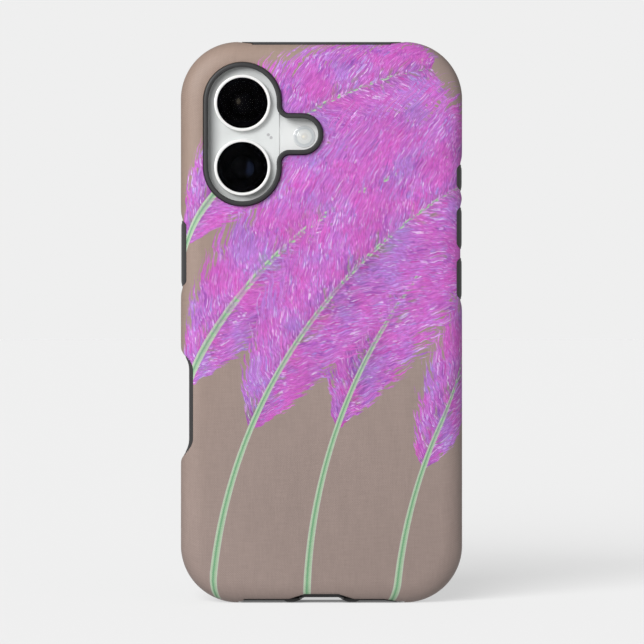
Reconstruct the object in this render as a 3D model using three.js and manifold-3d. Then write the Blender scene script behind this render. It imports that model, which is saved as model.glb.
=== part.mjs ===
// A printed two-layer phone case, fitted on its phone and standing upright on its bottom edge.
//
// Millimetres. +Z runs up the length of the phone and the back of the case looks along -Y, so seen
// from behind the case +X is to the right. Inside the part the pieces are placed in the phone's own
// frame: x from its middle, y = -depth, with depth measured back from the front glass, and z from
// its bottom edge. The whole is then set so that the origin is the middle of the box's underside.

import * as THREE from 'three';
import { mergeVertices } from 'three/addons/utils/BufferGeometryUtils.js';
import Module from 'manifold-3d';

const wasm = await Module();
wasm.setup();

// ---- Driving dimensions ---------------------------------------------------------------------

const PHONE = { width: 71.6, height: 147.6, depth: 7.8, corner: 13.1, edge: 1.3 };

// Layers of the case, as distances out from the phone's own surface.
const POCKET = 0.1;
const LINER = 1.3;
const SHELL_INSIDE = 1.4;
const SHELL = 2.5;
const BOSS = 2.2;

const LIP = { outer: 2.3, inner: -1.9, front: -1.1, back: -0.1, round: 0.35 };
const SHELL_FRONT = 0;

// The camera window: an upright pill with a lobe for the flash, given by the raised ring's outer edge.
const WINDOW = {
  x: -21.2,
  z: 124.4,
  halfWidth: 10.83,
  halfStraight: 8.95,
  lobeReach: 16.35,
  lobeRadius: 5.73,
  fillet: 2.2,
};
const RING = { top: 11.65, rim: 1.38, wall: 0.78, foot: 0.15, round: 0.3 };
const WINDOW_STEPS = { foot: 8.75, wall: 9.85 };
const WINDOW_GAP = 0.12;

const PLATEAU = { top: 9.7, halfWidth: 9.9, footHalfWidth: 10.5, footRise: 0.8, round: 0.3, skin: 0.7 };
const LENS = {
  x: -21.4,
  heights: { upper: 133.1, lower: 115.55 },
  ringRadius: 7.66,
  glassRadius: 6.78,
  ledgeRadius: 6.2,
  top: 11.2,
  glassTop: 11.05,
  glassBack: 10.65,
};
const FLASH = { x: -4.5, z: 124.15, radius: 3.1 };
const MICROPHONE = { x: -14.05, z: 124.15, radius: 0.6, body: 1.1, length: 0.4 };

// Side keys, with the side of the phone each stands on. A pad is the rubber key of the case.
const KEY_DEPTH = 3.9;
const KEYS = {
  power: { side: -1, z: 92.5, pad: 17.9, cap: 10.6 },
  action: { side: 1, z: 113.2, pad: 7.05, cap: 4.6 },
  volume_up: { side: 1, z: 99.4, pad: 11.35, cap: 7.6 },
  volume_down: { side: 1, z: 85.7, pad: 11.3, cap: 7.6 },
};
const CAMERA_CONTROL = { side: -1, z: 51.3, cap: 16.4, width: 2.6, proud: 0 };
const CAP = { width: 2.2, proud: 0.3, clearance: 0.25, flange: 0.5, flangeRim: 0.4, inside: 0.3 };
const PAD = { width: 3.4, endCover: 0.5, clearance: 0.3, inner: 0.4, proud: 2.43, round: 0.25 };
const SLOT = { front: 1.5, back: 9.1, corner: 1.6, clearance: 0.1 };
const RELIEF = { depth: 0.5, slope: 1.7, margin: 0.3 };

// The open notch beside the camera control: the heights of its ends and of its straight floor, the
// reach of its curves, and how far each layer is cut in past the phone's side.
const NOTCH = { top: 66.5, floorTop: 60.6, floorBottom: 42.4, bottom: 36.2 };
const NOTCH_CURVE = { spread: 1, shoulder: 2.4, ease: 3 };
const NOTCH_FLOOR = { liner: -0.2, shell: 0.95 };
const NOTCH_WINDOW = { front: 0.6, back: 7.4, top: 61.2, bottom: 41.4 };

// The bottom edge: a port notch between two posts, and a shallow cut-out on each side of them.
const PORT = { linerFoot: 7.2, linerHead: 4.5, shellFoot: 9.8, shellHead: 4.9, halfWindow: 7, post: 0.8 };
const PORT_HEADS = { liner: -1.35, shell: -0.5 };
const PORT_WINDOW = { front: 0.7, back: 7.1 };
const BOTTOM_CUT = { left: -20.9, right: 17.2, rightEnd: 21.6, liner: -2.1, shell: -1.66 };
const WINDOW_CORNER = 2;
const SOUND_WINDOW = { front: 2.5, back: 5.3, left: [-20.2, -10.4], right: [10.6, 18.2] };

// The top edge, where the shell is cut back and the liner shows as a thin line.
const TOP_CUT = { halfWidth: 21.6, taper: 3.2, depth: 0.6 };
// How far the shell's end walls are opened at both edges, for the liner's thick edges.
const EDGE_CUT = { back: 8.5, bottom: -1.2 };
// How far the tip of a thinning stretch of the liner stops short of the shell's own.
const WEDGE_END = 0.5;

const FRAME = { wall: 1.8, seat: 1.45, plateFront: 1.6, plateBack: 2.1 };
const COVER_GLASS = 0.6;
const BACK_GLASS = 0.7;
const SEAT_GAP = 0.1;

const PLUG = { width: 8.3, height: 2.6, wall: 0.3, depth: 6.6, tongueWidth: 6.7, tongueHeight: 0.7 };
const SCREW = { x: 6, headRadius: 0.8, headDepth: 0.6, shankRadius: 0.5, length: 3 };
const SOUND_HOLE = { radius: 0.75, pitch: 2.4, left: 4, right: 3, leftStart: -18.9, rightStart: 11.9 };

const DISPLAY = { inset: -2.2, back: 1.5 };
// What the phone holds stands on the frame's plate, whose back is just in front of this depth.
const FLOOR = 2.2;
const FRONT_CAMERA = { x: 0, z: 140.6, hole: 2.6, barrel: 2.2, width: 20, height: 6.4, top: 5.6 };
const REAR_CAMERA = {
  housing: 15.4,
  housingTop: 6.9,
  barrelRadius: 5.9,
  mouthRadius: 4.6,
  mouthDepth: 2.2,
  apertureRadius: 2.6,
};
const COIL = { z: 73.8, thickness: 0.3, inner: 11.5, outer: 21, magnetInner: 22.6, magnetOuter: 26.4 };
const SWITCH = { gap: 0.4, depth: 1.6, length: 4.6, top: 5 };
const INNER_BOXES = {
  battery: { x: [-13.5, 29.5], z: [22, 100], top: 6.4, material: 'cell' },
  logic_board: { x: [-30.5, -15], z: [27, 105], top: 3.1, material: 'board' },
  board_shield: { x: [-29.5, -16], z: [57, 104], front: 3.2, top: 5.6, material: 'steel' },
  earpiece_speaker: { x: [12, 26], z: [137.5, 144.5], top: 5.4, material: 'plastic' },
  haptic_motor: { x: [-30.5, -14.5], z: [10, 24.5], top: 6.2, material: 'steel' },
  loudspeaker: { x: [9, 29.5], z: [5, 19.5], top: 6.2, material: 'plastic' },
};

// How finely curves are faceted. An outline's arc is drawn with twice its curveSegments.
const CORNER_SEGMENTS = 5;
const ROUND_SEGMENTS = 4;
const CIRCLE_SEGMENTS = 32;
const CIRCLE_STEPS = CIRCLE_SEGMENTS / 2;
const SMALL_STEPS = 4;
const FAR = 60;

const HALF_WIDTH = PHONE.width / 2;
const BACK = PHONE.depth;

// ---- Materials ------------------------------------------------------------------------------

function material(color, roughness, metalness = 0) {
  return new THREE.MeshStandardMaterial({ color, roughness, metalness });
}

const MATERIALS = {
  print: material('#a08f86', 0.62),
  rubber: material('#2c2b2d', 0.7),
  aluminium: material('#d9d9d6', 0.35, 1),
  whiteGlass: material('#e6e7e6', 0.3),
  blackGlass: material('#07070a', 0.08),
  diffuser: material('#e9e9e4', 0.25),
  screen: material('#101114', 0.4),
  steel: material('#9a9b9d', 0.35, 1),
  plastic: material('#1b1b1d', 0.5),
  board: material('#1f4a33', 0.6),
  cell: material('#2a2c30', 0.55),
  copper: material('#b0693c', 0.4, 1),
};

// ---- Outlines -------------------------------------------------------------------------------

function roundedRect(x, z, width, height, radius) {
  const shape = new THREE.Shape();
  const across = width / 2 - radius;
  const up = height / 2 - radius;
  const quarter = Math.PI / 2;
  shape.absarc(x + across, z + up, radius, 0, quarter, false);
  shape.absarc(x - across, z + up, radius, quarter, 2 * quarter, false);
  shape.absarc(x - across, z - up, radius, 2 * quarter, 3 * quarter, false);
  shape.absarc(x + across, z - up, radius, 3 * quarter, 4 * quarter, false);
  shape.closePath();
  return shape;
}

function stadium(x, z, length, width) {
  const shape = new THREE.Shape();
  const reach = (length - width) / 2;
  shape.absarc(x + reach, z, width / 2, -Math.PI / 2, Math.PI / 2, false);
  shape.absarc(x - reach, z, width / 2, Math.PI / 2, 1.5 * Math.PI, false);
  shape.closePath();
  return shape;
}

function pill(x, z, halfWidth, halfStraight) {
  const shape = new THREE.Shape();
  shape.absarc(x, z + halfStraight, halfWidth, 0, Math.PI, false);
  shape.absarc(x, z - halfStraight, halfWidth, Math.PI, 2 * Math.PI, false);
  shape.closePath();
  return shape;
}

function disc(x, z, radius) {
  const shape = new THREE.Shape();
  shape.absarc(x, z, radius, 0, 2 * Math.PI, false);
  return shape;
}

function polygon(points) {
  return new THREE.Shape(points.map(([x, z]) => new THREE.Vector2(x, z)));
}

// The phone's outline seen from behind, moved out by offset.
function bodyOutline(offset) {
  const width = PHONE.width + 2 * offset;
  const height = PHONE.height + 2 * offset;
  return roundedRect(0, PHONE.height / 2, width, height, PHONE.corner + offset);
}

// The camera window's outline, moved in by inset from the ring's outer edge.
function windowOutline(inset) {
  const { x, z, halfStraight, lobeReach } = WINDOW;
  const radius = WINDOW.halfWidth - inset;
  const lobe = WINDOW.lobeRadius - inset;
  const fillet = WINDOW.fillet + inset;
  const filletX = x + radius + fillet;
  const filletUp = lobe + fillet;
  const shape = new THREE.Shape();
  shape.absarc(filletX, z - filletUp, fillet, Math.PI, Math.PI / 2, true);
  shape.absarc(x + lobeReach, z, lobe, -Math.PI / 2, Math.PI / 2, false);
  shape.absarc(filletX, z + filletUp, fillet, -Math.PI / 2, -Math.PI, true);
  shape.absarc(x, z + halfStraight, radius, 0, Math.PI, false);
  shape.absarc(x, z - halfStraight, radius, Math.PI, 2 * Math.PI, false);
  shape.closePath();
  return shape;
}

// ---- Geometry -------------------------------------------------------------------------------

// A prism whose outline is seen from behind, between two depths.
function depthPrism(shape, front, back, curveSegments = CORNER_SEGMENTS) {
  const geometry = new THREE.ExtrudeGeometry(shape, {
    depth: back - front,
    bevelEnabled: false,
    curveSegments,
  });
  geometry.rotateX(Math.PI / 2);
  geometry.translate(0, -front, 0);
  return geometry;
}

// The same with both rims rounded: sizes across the outline and along the depth may differ.
function roundedPrism(shape, front, back, round, rise = round, segments = ROUND_SEGMENTS) {
  const geometry = new THREE.ExtrudeGeometry(shape, {
    depth: back - front - 2 * rise,
    bevelThickness: rise,
    bevelSize: round,
    bevelOffset: -round,
    bevelSegments: segments,
    curveSegments: CORNER_SEGMENTS,
  });
  geometry.rotateX(Math.PI / 2);
  geometry.translate(0, -front - rise, 0);
  return geometry;
}

// A prism that runs along X, from an outline in (height, depth), with an optional round on both rims.
function sidePrism(shape, from, to, round = 0, curveSegments = CORNER_SEGMENTS) {
  const geometry = new THREE.ExtrudeGeometry(shape, {
    depth: Math.abs(to - from) - 2 * round,
    bevelEnabled: round > 0,
    bevelThickness: round,
    bevelSize: round,
    bevelOffset: -round,
    bevelSegments: 2,
    curveSegments,
  });
  const basis = new THREE.Matrix4().makeBasis(
    new THREE.Vector3(0, 0, 1),
    new THREE.Vector3(0, -1, 0),
    new THREE.Vector3(1, 0, 0),
  );
  geometry.applyMatrix4(basis);
  geometry.translate(Math.min(from, to) + round, 0, 0);
  return geometry;
}

// A prism that runs along Z, from an outline in (x, depth).
function uprightPrism(shape, bottom, top, curveSegments = CORNER_SEGMENTS) {
  const geometry = new THREE.ExtrudeGeometry(shape, {
    depth: top - bottom,
    bevelEnabled: false,
    curveSegments,
  });
  const basis = new THREE.Matrix4().makeBasis(
    new THREE.Vector3(1, 0, 0),
    new THREE.Vector3(0, -1, 0),
    new THREE.Vector3(0, 0, -1),
  );
  geometry.applyMatrix4(basis);
  geometry.translate(0, 0, top);
  return geometry;
}

// A turned piece whose axis runs through the depth: the profile is a loop of [radius, depth] points.
function turned(profile, x, z, segments = CIRCLE_SEGMENTS) {
  const points = profile.map(([radius, depth]) => new THREE.Vector2(radius, depth));
  const geometry = new THREE.LatheGeometry(points, segments);
  geometry.rotateX(Math.PI);
  geometry.translate(x, 0, z);
  return geometry;
}

function block(x0, x1, front, back, z0, z1) {
  const geometry = new THREE.BoxGeometry(x1 - x0, back - front, z1 - z0);
  geometry.translate((x0 + x1) / 2, -(front + back) / 2, (z0 + z1) / 2);
  return geometry;
}

function solidOf(geometry) {
  const bare = geometry.clone();
  bare.deleteAttribute('normal');
  bare.deleteAttribute('uv');
  const merged = mergeVertices(bare, 1e-4);
  const vertProperties = new Float32Array(merged.attributes.position.array);
  const triVerts = new Uint32Array(merged.index.array);
  return new wasm.Manifold(new wasm.Mesh({ numProp: 3, vertProperties, triVerts }));
}

function geometryOf(solid) {
  const mesh = solid.getMesh();
  const geometry = new THREE.BufferGeometry();
  geometry.setAttribute('position', new THREE.BufferAttribute(mesh.vertProperties, 3));
  geometry.setIndex(new THREE.BufferAttribute(mesh.triVerts, 1));
  geometry.computeVertexNormals();
  return geometry;
}

function cut(base, ...tools) {
  return tools.reduce((solid, tool) => solid.subtract(solidOf(tool)), base);
}

function join(base, ...others) {
  return others.reduce((solid, other) => solid.add(solidOf(other)), base);
}

// A case layer's outside: the phone's form moved out by offset, rounded at the back, flat in front.
function layerBody(offset, front) {
  const round = PHONE.edge + offset;
  const blank = solidOf(roundedPrism(bodyOutline(offset), front - 2 * round, BACK + offset, round));
  return cut(blank, block(-FAR, FAR, front - 3 * round, front, -FAR, PHONE.height + FAR));
}

// The phone's own form moved out by offset, rounded at the front and the back.
function phoneBody(offset) {
  const round = PHONE.edge + offset;
  return solidOf(roundedPrism(bodyOutline(offset), -offset, BACK + offset, round));
}

// ---- Cuts shared by the two layers ----------------------------------------------------------

// A round-cornered window through a wall of the liner, centred at middle along it.
function windowRect(middle, length, { front, back }) {
  return roundedRect(middle, (front + back) / 2, length, back - front, WINDOW_CORNER);
}

function slotOutline(key, clearance) {
  const width = SLOT.back - SLOT.front + 2 * clearance;
  const middle = (SLOT.front + SLOT.back) / 2;
  return roundedRect(key.z, middle, key.pad + 2 * clearance, width, SLOT.corner + clearance);
}

function padOutline(key, clearance) {
  const length = key.pad - 2 * PAD.endCover + 2 * clearance;
  return stadium(key.z, KEY_DEPTH, length, PAD.width + 2 * clearance);
}

function capOutline(length, width, z, clearance) {
  return stadium(z, KEY_DEPTH, length + 2 * clearance, width + 2 * clearance);
}

// A shallow dish in the shell's side along a run of pads, sloping out at both ends.
function reliefPrism(side, bottom, top) {
  const outer = HALF_WIDTH + SHELL;
  const reach = RELIEF.margin + RELIEF.slope * (1 + 1 / RELIEF.depth);
  const outline = polygon([
    [side * (outer + 1), bottom - reach],
    [side * (outer - RELIEF.depth), bottom - RELIEF.margin],
    [side * (outer - RELIEF.depth), top + RELIEF.margin],
    [side * (outer + 1), top + reach],
  ]);
  return depthPrism(outline, -FAR, FAR);
}

// The open notch beside the camera control, cut in to floor.
function notchPrism(inset) {
  const outer = -(HALF_WIDTH + SHELL);
  const floor = -(HALF_WIDTH - inset);
  const { spread, shoulder, ease } = NOTCH_CURVE;
  const shape = new THREE.Shape();
  shape.moveTo(outer - FAR, NOTCH.bottom);
  shape.lineTo(outer, NOTCH.bottom);
  shape.bezierCurveTo(
    outer + spread, NOTCH.bottom + shoulder, floor, NOTCH.floorBottom - ease, floor, NOTCH.floorBottom);
  shape.lineTo(floor, NOTCH.floorTop);
  shape.bezierCurveTo(
    floor, NOTCH.floorTop + ease, outer + spread, NOTCH.top - shoulder, outer, NOTCH.top);
  shape.lineTo(outer - FAR, NOTCH.top);
  shape.closePath();
  return depthPrism(shape, -FAR, FAR);
}

// A flat-topped notch in the bottom edge, from its foot on the floor up to head.
function portPrism(footHalf, foot, headHalf, head) {
  const slope = (footHalf - headHalf) / (head - foot);
  const below = foot - 1;
  const widest = footHalf + slope;
  const outline = polygon([
    [-widest, below],
    [widest, below],
    [headHalf, head],
    [-headHalf, head],
  ]);
  return depthPrism(outline, -FAR, FAR);
}

// ---- The case -------------------------------------------------------------------------------

function caseShell() {
  const bottom = -SHELL;
  const top = PHONE.height + SHELL;
  const { left, right, rightEnd } = BOTTOM_CUT;
  let shell = layerBody(SHELL, SHELL_FRONT).subtract(layerBody(SHELL_INSIDE, SHELL_FRONT - 1));
  shell = cut(shell, depthPrism(windowOutline(-WINDOW_GAP), BACK, BACK + FAR));
  for (const key of Object.values(KEYS)) {
    const from = key.side * (HALF_WIDTH - PHONE.edge + SEAT_GAP);
    shell = cut(shell, sidePrism(slotOutline(key, 0), from, key.side * FAR, 0, SMALL_STEPS));
  }
  const { power, action, volume_up: up, volume_down: down } = KEYS;
  shell = cut(
    shell,
    reliefPrism(power.side, power.z - power.pad / 2, power.z + power.pad / 2),
    reliefPrism(action.side, action.z - action.pad / 2, action.z + action.pad / 2),
    reliefPrism(up.side, down.z - down.pad / 2, up.z + up.pad / 2),
    notchPrism(NOTCH_FLOOR.shell),
  );
  const bottomEdge = polygon([
    [left - 1, bottom - 1],
    [rightEnd, bottom - 1],
    [rightEnd, bottom],
    [right, BOTTOM_CUT.shell],
    [left, BOTTOM_CUT.shell],
    [left - 1, bottom],
  ]);
  const topEdge = polygon([
    [-TOP_CUT.halfWidth, top],
    [-TOP_CUT.halfWidth + TOP_CUT.taper, top - TOP_CUT.depth],
    [TOP_CUT.halfWidth - TOP_CUT.taper, top - TOP_CUT.depth],
    [TOP_CUT.halfWidth, top],
    [TOP_CUT.halfWidth, top + 1],
    [-TOP_CUT.halfWidth, top + 1],
  ]);
  const innerTop = TOP_CUT.halfWidth - TOP_CUT.taper;
  return cut(
    shell,
    depthPrism(bottomEdge, -FAR, FAR),
    block(left, right, -FAR, EDGE_CUT.back, bottom - 1, EDGE_CUT.bottom),
    portPrism(PORT.shellFoot, BOTTOM_CUT.shell, PORT.shellHead, PORT_HEADS.shell),
    depthPrism(topEdge, -FAR, FAR),
    block(-innerTop, innerTop, -FAR, EDGE_CUT.back, PHONE.height - EDGE_CUT.bottom, top + 1),
  );
}

// The raised ring round the camera window: a wall with a rim that reaches in over the plateau.
function windowRing() {
  return solidOf(roundedPrism(windowOutline(0), BACK + POCKET, RING.top, RING.round, RING.round, 2));
}

// The liner's flush boss that fills a key's slot in the shell.
function keyBoss(key) {
  const from = key.side * (HALF_WIDTH - PHONE.edge + 2 * SEAT_GAP);
  const prism = solidOf(sidePrism(slotOutline(key, -SLOT.clearance), from, key.side * FAR, 0, SMALL_STEPS));
  return layerBody(BOSS, SHELL_FRONT).intersect(prism);
}

// The liner's thick edge along the bottom: two posts on the floor, a raised stretch beside each, and
// a sliver that thins out down to the floor on the right.
function bottomBoss() {
  const gap = SLOT.clearance;
  const seat = EDGE_CUT.bottom - gap;
  const left = BOTTOM_CUT.left + gap;
  const right = BOTTOM_CUT.right - gap;
  const tip = BOTTOM_CUT.rightEnd - WEDGE_END;
  const outline = polygon([
    [left, seat],
    [left, BOTTOM_CUT.liner],
    [-PORT.shellFoot, BOTTOM_CUT.liner],
    [-PORT.shellFoot + PORT.post, -SHELL],
    [PORT.shellFoot - PORT.post, -SHELL],
    [PORT.shellFoot, BOTTOM_CUT.liner],
    [right, BOTTOM_CUT.liner],
    [tip, -SHELL],
    [right, BOTTOM_CUT.shell - gap],
    [right, seat],
  ]);
  const front = SHELL_FRONT - gap;
  return layerBody(SHELL, front).intersect(solidOf(depthPrism(outline, front, EDGE_CUT.back - gap)));
}

// The liner's thick edge along the top, flush with the shell and thinning out at both ends.
function topBoss() {
  const gap = SLOT.clearance;
  const top = PHONE.height + SHELL;
  const half = TOP_CUT.halfWidth - TOP_CUT.taper - gap;
  const tip = TOP_CUT.halfWidth - WEDGE_END;
  const front = SHELL_FRONT - gap;
  const outline = polygon([
    [-half, PHONE.height - EDGE_CUT.bottom + gap],
    [half, PHONE.height - EDGE_CUT.bottom + gap],
    [half, top - TOP_CUT.depth + gap],
    [tip, top],
    [-tip, top],
    [-half, top - TOP_CUT.depth + gap],
  ]);
  return layerBody(SHELL, front).intersect(solidOf(depthPrism(outline, front, EDGE_CUT.back - gap)));
}

function caseLiner() {
  const lip = roundedPrism(bodyOutline(LIP.outer), LIP.front, LIP.back, LIP.round, LIP.round, 2);
  let liner = join(layerBody(LINER, LIP.back - 0.5), lip).add(windowRing());
  liner = liner.add(bottomBoss()).add(topBoss());
  for (const key of Object.values(KEYS)) {
    liner = liner.add(keyBoss(key));
  }
  liner = liner.subtract(phoneBody(POCKET));
  liner = cut(
    liner,
    depthPrism(bodyOutline(LIP.inner), LIP.front - 1, BACK / 2),
    depthPrism(windowOutline(RING.foot), BACK / 2, WINDOW_STEPS.foot),
    depthPrism(windowOutline(RING.wall), BACK, WINDOW_STEPS.wall),
    depthPrism(windowOutline(RING.rim), BACK, RING.top + 1),
    notchPrism(NOTCH_FLOOR.liner),
    portPrism(PORT.linerFoot, -SHELL, PORT.linerHead, PORT_HEADS.liner),
    uprightPrism(windowRect(0, 2 * PORT.halfWindow, PORT_WINDOW), -SHELL - 1, 1),
  );
  for (const [from, to] of [SOUND_WINDOW.left, SOUND_WINDOW.right]) {
    const middle = (SOUND_WINDOW.front + SOUND_WINDOW.back) / 2;
    const width = SOUND_WINDOW.back - SOUND_WINDOW.front;
    const slot = stadium((from + to) / 2, middle, to - from, width);
    liner = cut(liner, uprightPrism(slot, -SHELL - 1, 1));
  }
  for (const key of Object.values(KEYS)) {
    const from = key.side * (HALF_WIDTH - 1);
    liner = cut(liner, sidePrism(padOutline(key, PAD.clearance), from, key.side * FAR));
  }
  const { top, bottom } = NOTCH_WINDOW;
  const control = windowRect((top + bottom) / 2, top - bottom, NOTCH_WINDOW);
  return cut(liner, sidePrism(control, -FAR, -(HALF_WIDTH - 1)));
}

function pad(key) {
  const inner = key.side * (HALF_WIDTH + PAD.inner);
  const outer = key.side * (HALF_WIDTH + PAD.proud);
  return sidePrism(padOutline(key, 0), inner, outer, PAD.round);
}

// ---- The phone ------------------------------------------------------------------------------

// A key's cap in the frame's wall: a stem with a flange behind it that keeps it in its slot.
function cap(key, width, proud) {
  const wallInside = HALF_WIDTH - FRAME.wall;
  const flangeTop = wallInside - CAP.inside;
  const outer = key.side * (HALF_WIDTH + proud);
  const stem = sidePrism(capOutline(key.cap, width, key.z, 0), key.side * flangeTop, outer);
  const flange = sidePrism(
    capOutline(key.cap, width, key.z, CAP.flangeRim),
    key.side * (flangeTop - CAP.flange),
    key.side * flangeTop,
  );
  return geometryOf(join(solidOf(stem), flange));
}

function plugOutline(grow) {
  return stadium(0, KEY_DEPTH, PLUG.width + 2 * grow, PLUG.height + 2 * grow);
}

function soundHoles() {
  const holes = [];
  for (let i = 0; i < SOUND_HOLE.left; i += 1) {
    holes.push(SOUND_HOLE.leftStart + i * SOUND_HOLE.pitch);
  }
  for (let i = 0; i < SOUND_HOLE.right; i += 1) {
    holes.push(SOUND_HOLE.rightStart + i * SOUND_HOLE.pitch);
  }
  return holes;
}

function phoneFrame() {
  const inside = bodyOutline(-FRAME.wall);
  const seat = bodyOutline(-FRAME.seat);
  const glassBack = COVER_GLASS + SEAT_GAP / 2;
  const glassFront = BACK - BACK_GLASS - SEAT_GAP / 2;
  let frame = cut(
    phoneBody(0),
    depthPrism(seat, -1, glassBack),
    depthPrism(inside, glassBack - SEAT_GAP, FRAME.plateFront),
    depthPrism(inside, FRAME.plateBack, glassFront + SEAT_GAP),
    depthPrism(seat, glassFront, BACK + 1),
    depthPrism(disc(FRONT_CAMERA.x, FRONT_CAMERA.z, FRONT_CAMERA.hole), 1, FLOOR, SMALL_STEPS),
  );
  for (const key of [...Object.values(KEYS), CAMERA_CONTROL]) {
    const width = key.width ?? CAP.width;
    const slot = capOutline(key.cap, width, key.z, CAP.clearance);
    const from = key.side * (HALF_WIDTH - FRAME.wall - 1);
    frame = cut(frame, sidePrism(slot, from, key.side * (HALF_WIDTH + 1)));
  }
  frame = cut(frame, uprightPrism(plugOutline(PLUG.wall + SEAT_GAP), -1, FRAME.wall + 1));
  for (const x of soundHoles()) {
    frame = cut(frame, uprightPrism(disc(x, KEY_DEPTH, SOUND_HOLE.radius), -1, FRAME.wall + 1, SMALL_STEPS));
  }
  for (const x of [-SCREW.x, SCREW.x]) {
    const head = disc(x, KEY_DEPTH, SCREW.headRadius + SEAT_GAP);
    const shank = disc(x, KEY_DEPTH, SCREW.shankRadius + SEAT_GAP);
    frame = cut(
      frame,
      uprightPrism(head, -1, SCREW.headDepth + SEAT_GAP, SMALL_STEPS),
      uprightPrism(shank, 0, FRAME.wall + 1, SMALL_STEPS),
    );
  }
  return frame;
}

// The back glass with the raised camera plateau moulded in one with it.
function backGlass() {
  const front = BACK - BACK_GLASS;
  const { halfWidth, footHalfWidth, footRise, round, top, skin } = PLATEAU;
  const outline = pill(WINDOW.x, WINDOW.z, halfWidth, WINDOW.halfStraight);
  const foot = pill(WINDOW.x, WINDOW.z, footHalfWidth, WINDOW.halfStraight);
  const hollow = pill(WINDOW.x, WINDOW.z, halfWidth - skin - round, WINDOW.halfStraight);
  const flare = footHalfWidth - halfWidth;
  let glass = join(
    solidOf(depthPrism(bodyOutline(-FRAME.seat - SEAT_GAP), front, BACK)),
    roundedPrism(outline, front + round, top, round, round, 2),
    roundedPrism(foot, BACK - 2 * footRise, BACK + footRise, flare, footRise, 2),
  );
  glass = cut(
    glass,
    block(-FAR, FAR, front - 2, front, -1, PHONE.height),
    depthPrism(hollow, front - 1, top - skin),
    depthPrism(disc(FLASH.x, FLASH.z, FLASH.radius + SEAT_GAP), front - 1, BACK + 1, CIRCLE_STEPS),
    depthPrism(disc(MICROPHONE.x, MICROPHONE.z, MICROPHONE.radius), BACK, top + 1, SMALL_STEPS),
  );
  for (const z of Object.values(LENS.heights)) {
    glass = cut(glass, depthPrism(disc(LENS.x, z, LENS.ledgeRadius), BACK, top + 1, CIRCLE_STEPS));
  }
  return glass;
}

function lensRing(z) {
  const { ringRadius, glassRadius, ledgeRadius, top, glassBack } = LENS;
  const bore = glassRadius + SEAT_GAP;
  const base = PLATEAU.top + SEAT_GAP / 2;
  const chamfer = 0.15;
  return turned([
    [ledgeRadius, base],
    [ringRadius, base],
    [ringRadius, top - chamfer],
    [ringRadius - chamfer, top],
    [bore + chamfer, top],
    [bore, top - chamfer],
    [bore, glassBack - SEAT_GAP / 2],
    [ledgeRadius, glassBack - SEAT_GAP / 2],
    [ledgeRadius, base],
  ], LENS.x, z);
}

// A rear camera: its housing on the frame's plate, and its barrel up through the plateau.
function rearCamera(z) {
  const half = REAR_CAMERA.housing / 2;
  const housing = block(LENS.x - half, LENS.x + half, FLOOR, REAR_CAMERA.housingTop, z - half, z + half);
  const barrel = turned([
    [0, REAR_CAMERA.housingTop - 1],
    [REAR_CAMERA.barrelRadius, REAR_CAMERA.housingTop - 1],
    [REAR_CAMERA.barrelRadius, LENS.glassBack - SEAT_GAP],
    [REAR_CAMERA.mouthRadius, LENS.glassBack - SEAT_GAP],
    [REAR_CAMERA.apertureRadius, LENS.glassBack - REAR_CAMERA.mouthDepth],
    [0, LENS.glassBack - REAR_CAMERA.mouthDepth],
  ], LENS.x, z);
  return geometryOf(join(solidOf(housing), barrel));
}

function flashUnit() {
  const { x, z, radius } = FLASH;
  const seat = BACK - BACK_GLASS - SEAT_GAP;
  const lens = turned([
    [0, seat + SEAT_GAP],
    [radius, seat + SEAT_GAP],
    [radius, BACK],
    [radius - 0.3, BACK + 0.12],
    [0, BACK + 0.12],
  ], x, z);
  const carrier = block(x - radius, x + radius, FLOOR, seat, z - radius, z + radius);
  return { lens, carrier };
}

// The microphone behind the plateau's small hole.
function rearMicrophone() {
  const { x, z, body, length } = MICROPHONE;
  const back = PLATEAU.top - PLATEAU.skin - SEAT_GAP;
  return depthPrism(disc(x, z, body), back - length, back, SMALL_STEPS);
}

function plugSocket() {
  const outer = solidOf(uprightPrism(plugOutline(PLUG.wall), SEAT_GAP, PLUG.depth + PLUG.wall));
  return cut(outer, uprightPrism(plugOutline(0), -1, PLUG.depth));
}

function plugTongue() {
  const half = PLUG.tongueWidth / 2;
  const thin = PLUG.tongueHeight / 2;
  return block(-half, half, KEY_DEPTH - thin, KEY_DEPTH + thin, 1, PLUG.depth - SEAT_GAP);
}

function screw() {
  const profile = [
    [0, SEAT_GAP],
    [SCREW.headRadius, SEAT_GAP],
    [SCREW.headRadius, SCREW.headDepth],
    [SCREW.shankRadius, SCREW.headDepth],
    [SCREW.shankRadius, SCREW.length],
    [0, SCREW.length],
  ];
  const points = profile.map(([radius, up]) => new THREE.Vector2(radius, up));
  const geometry = new THREE.LatheGeometry(points, 4 * SMALL_STEPS);
  geometry.rotateX(Math.PI / 2);
  return geometry;
}

// The damper mesh behind one row of sound holes.
function soundMesh(first, count) {
  const last = first + (count - 1) * SOUND_HOLE.pitch;
  const outline = stadium((first + last) / 2, KEY_DEPTH, last - first + 3, 2.6);
  return uprightPrism(outline, FRAME.wall + SEAT_GAP, FRAME.wall + 0.6);
}

function frontCamera() {
  const { x, z, width, height, top, barrel } = FRONT_CAMERA;
  const housing = block(x - width / 2, x + width / 2, FLOOR, top, z - height / 2, z + height / 2);
  const nose = depthPrism(disc(x, z, barrel), COVER_GLASS + SEAT_GAP, FLOOR + 1, SMALL_STEPS);
  return geometryOf(join(solidOf(housing), nose));
}

function displayPanel() {
  const { x, z, hole } = FRONT_CAMERA;
  const panel = depthPrism(bodyOutline(DISPLAY.inset), COVER_GLASS + SEAT_GAP / 2, DISPLAY.back);
  return geometryOf(cut(solidOf(panel), depthPrism(disc(x, z, hole), 0, FLOOR, SMALL_STEPS)));
}

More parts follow.
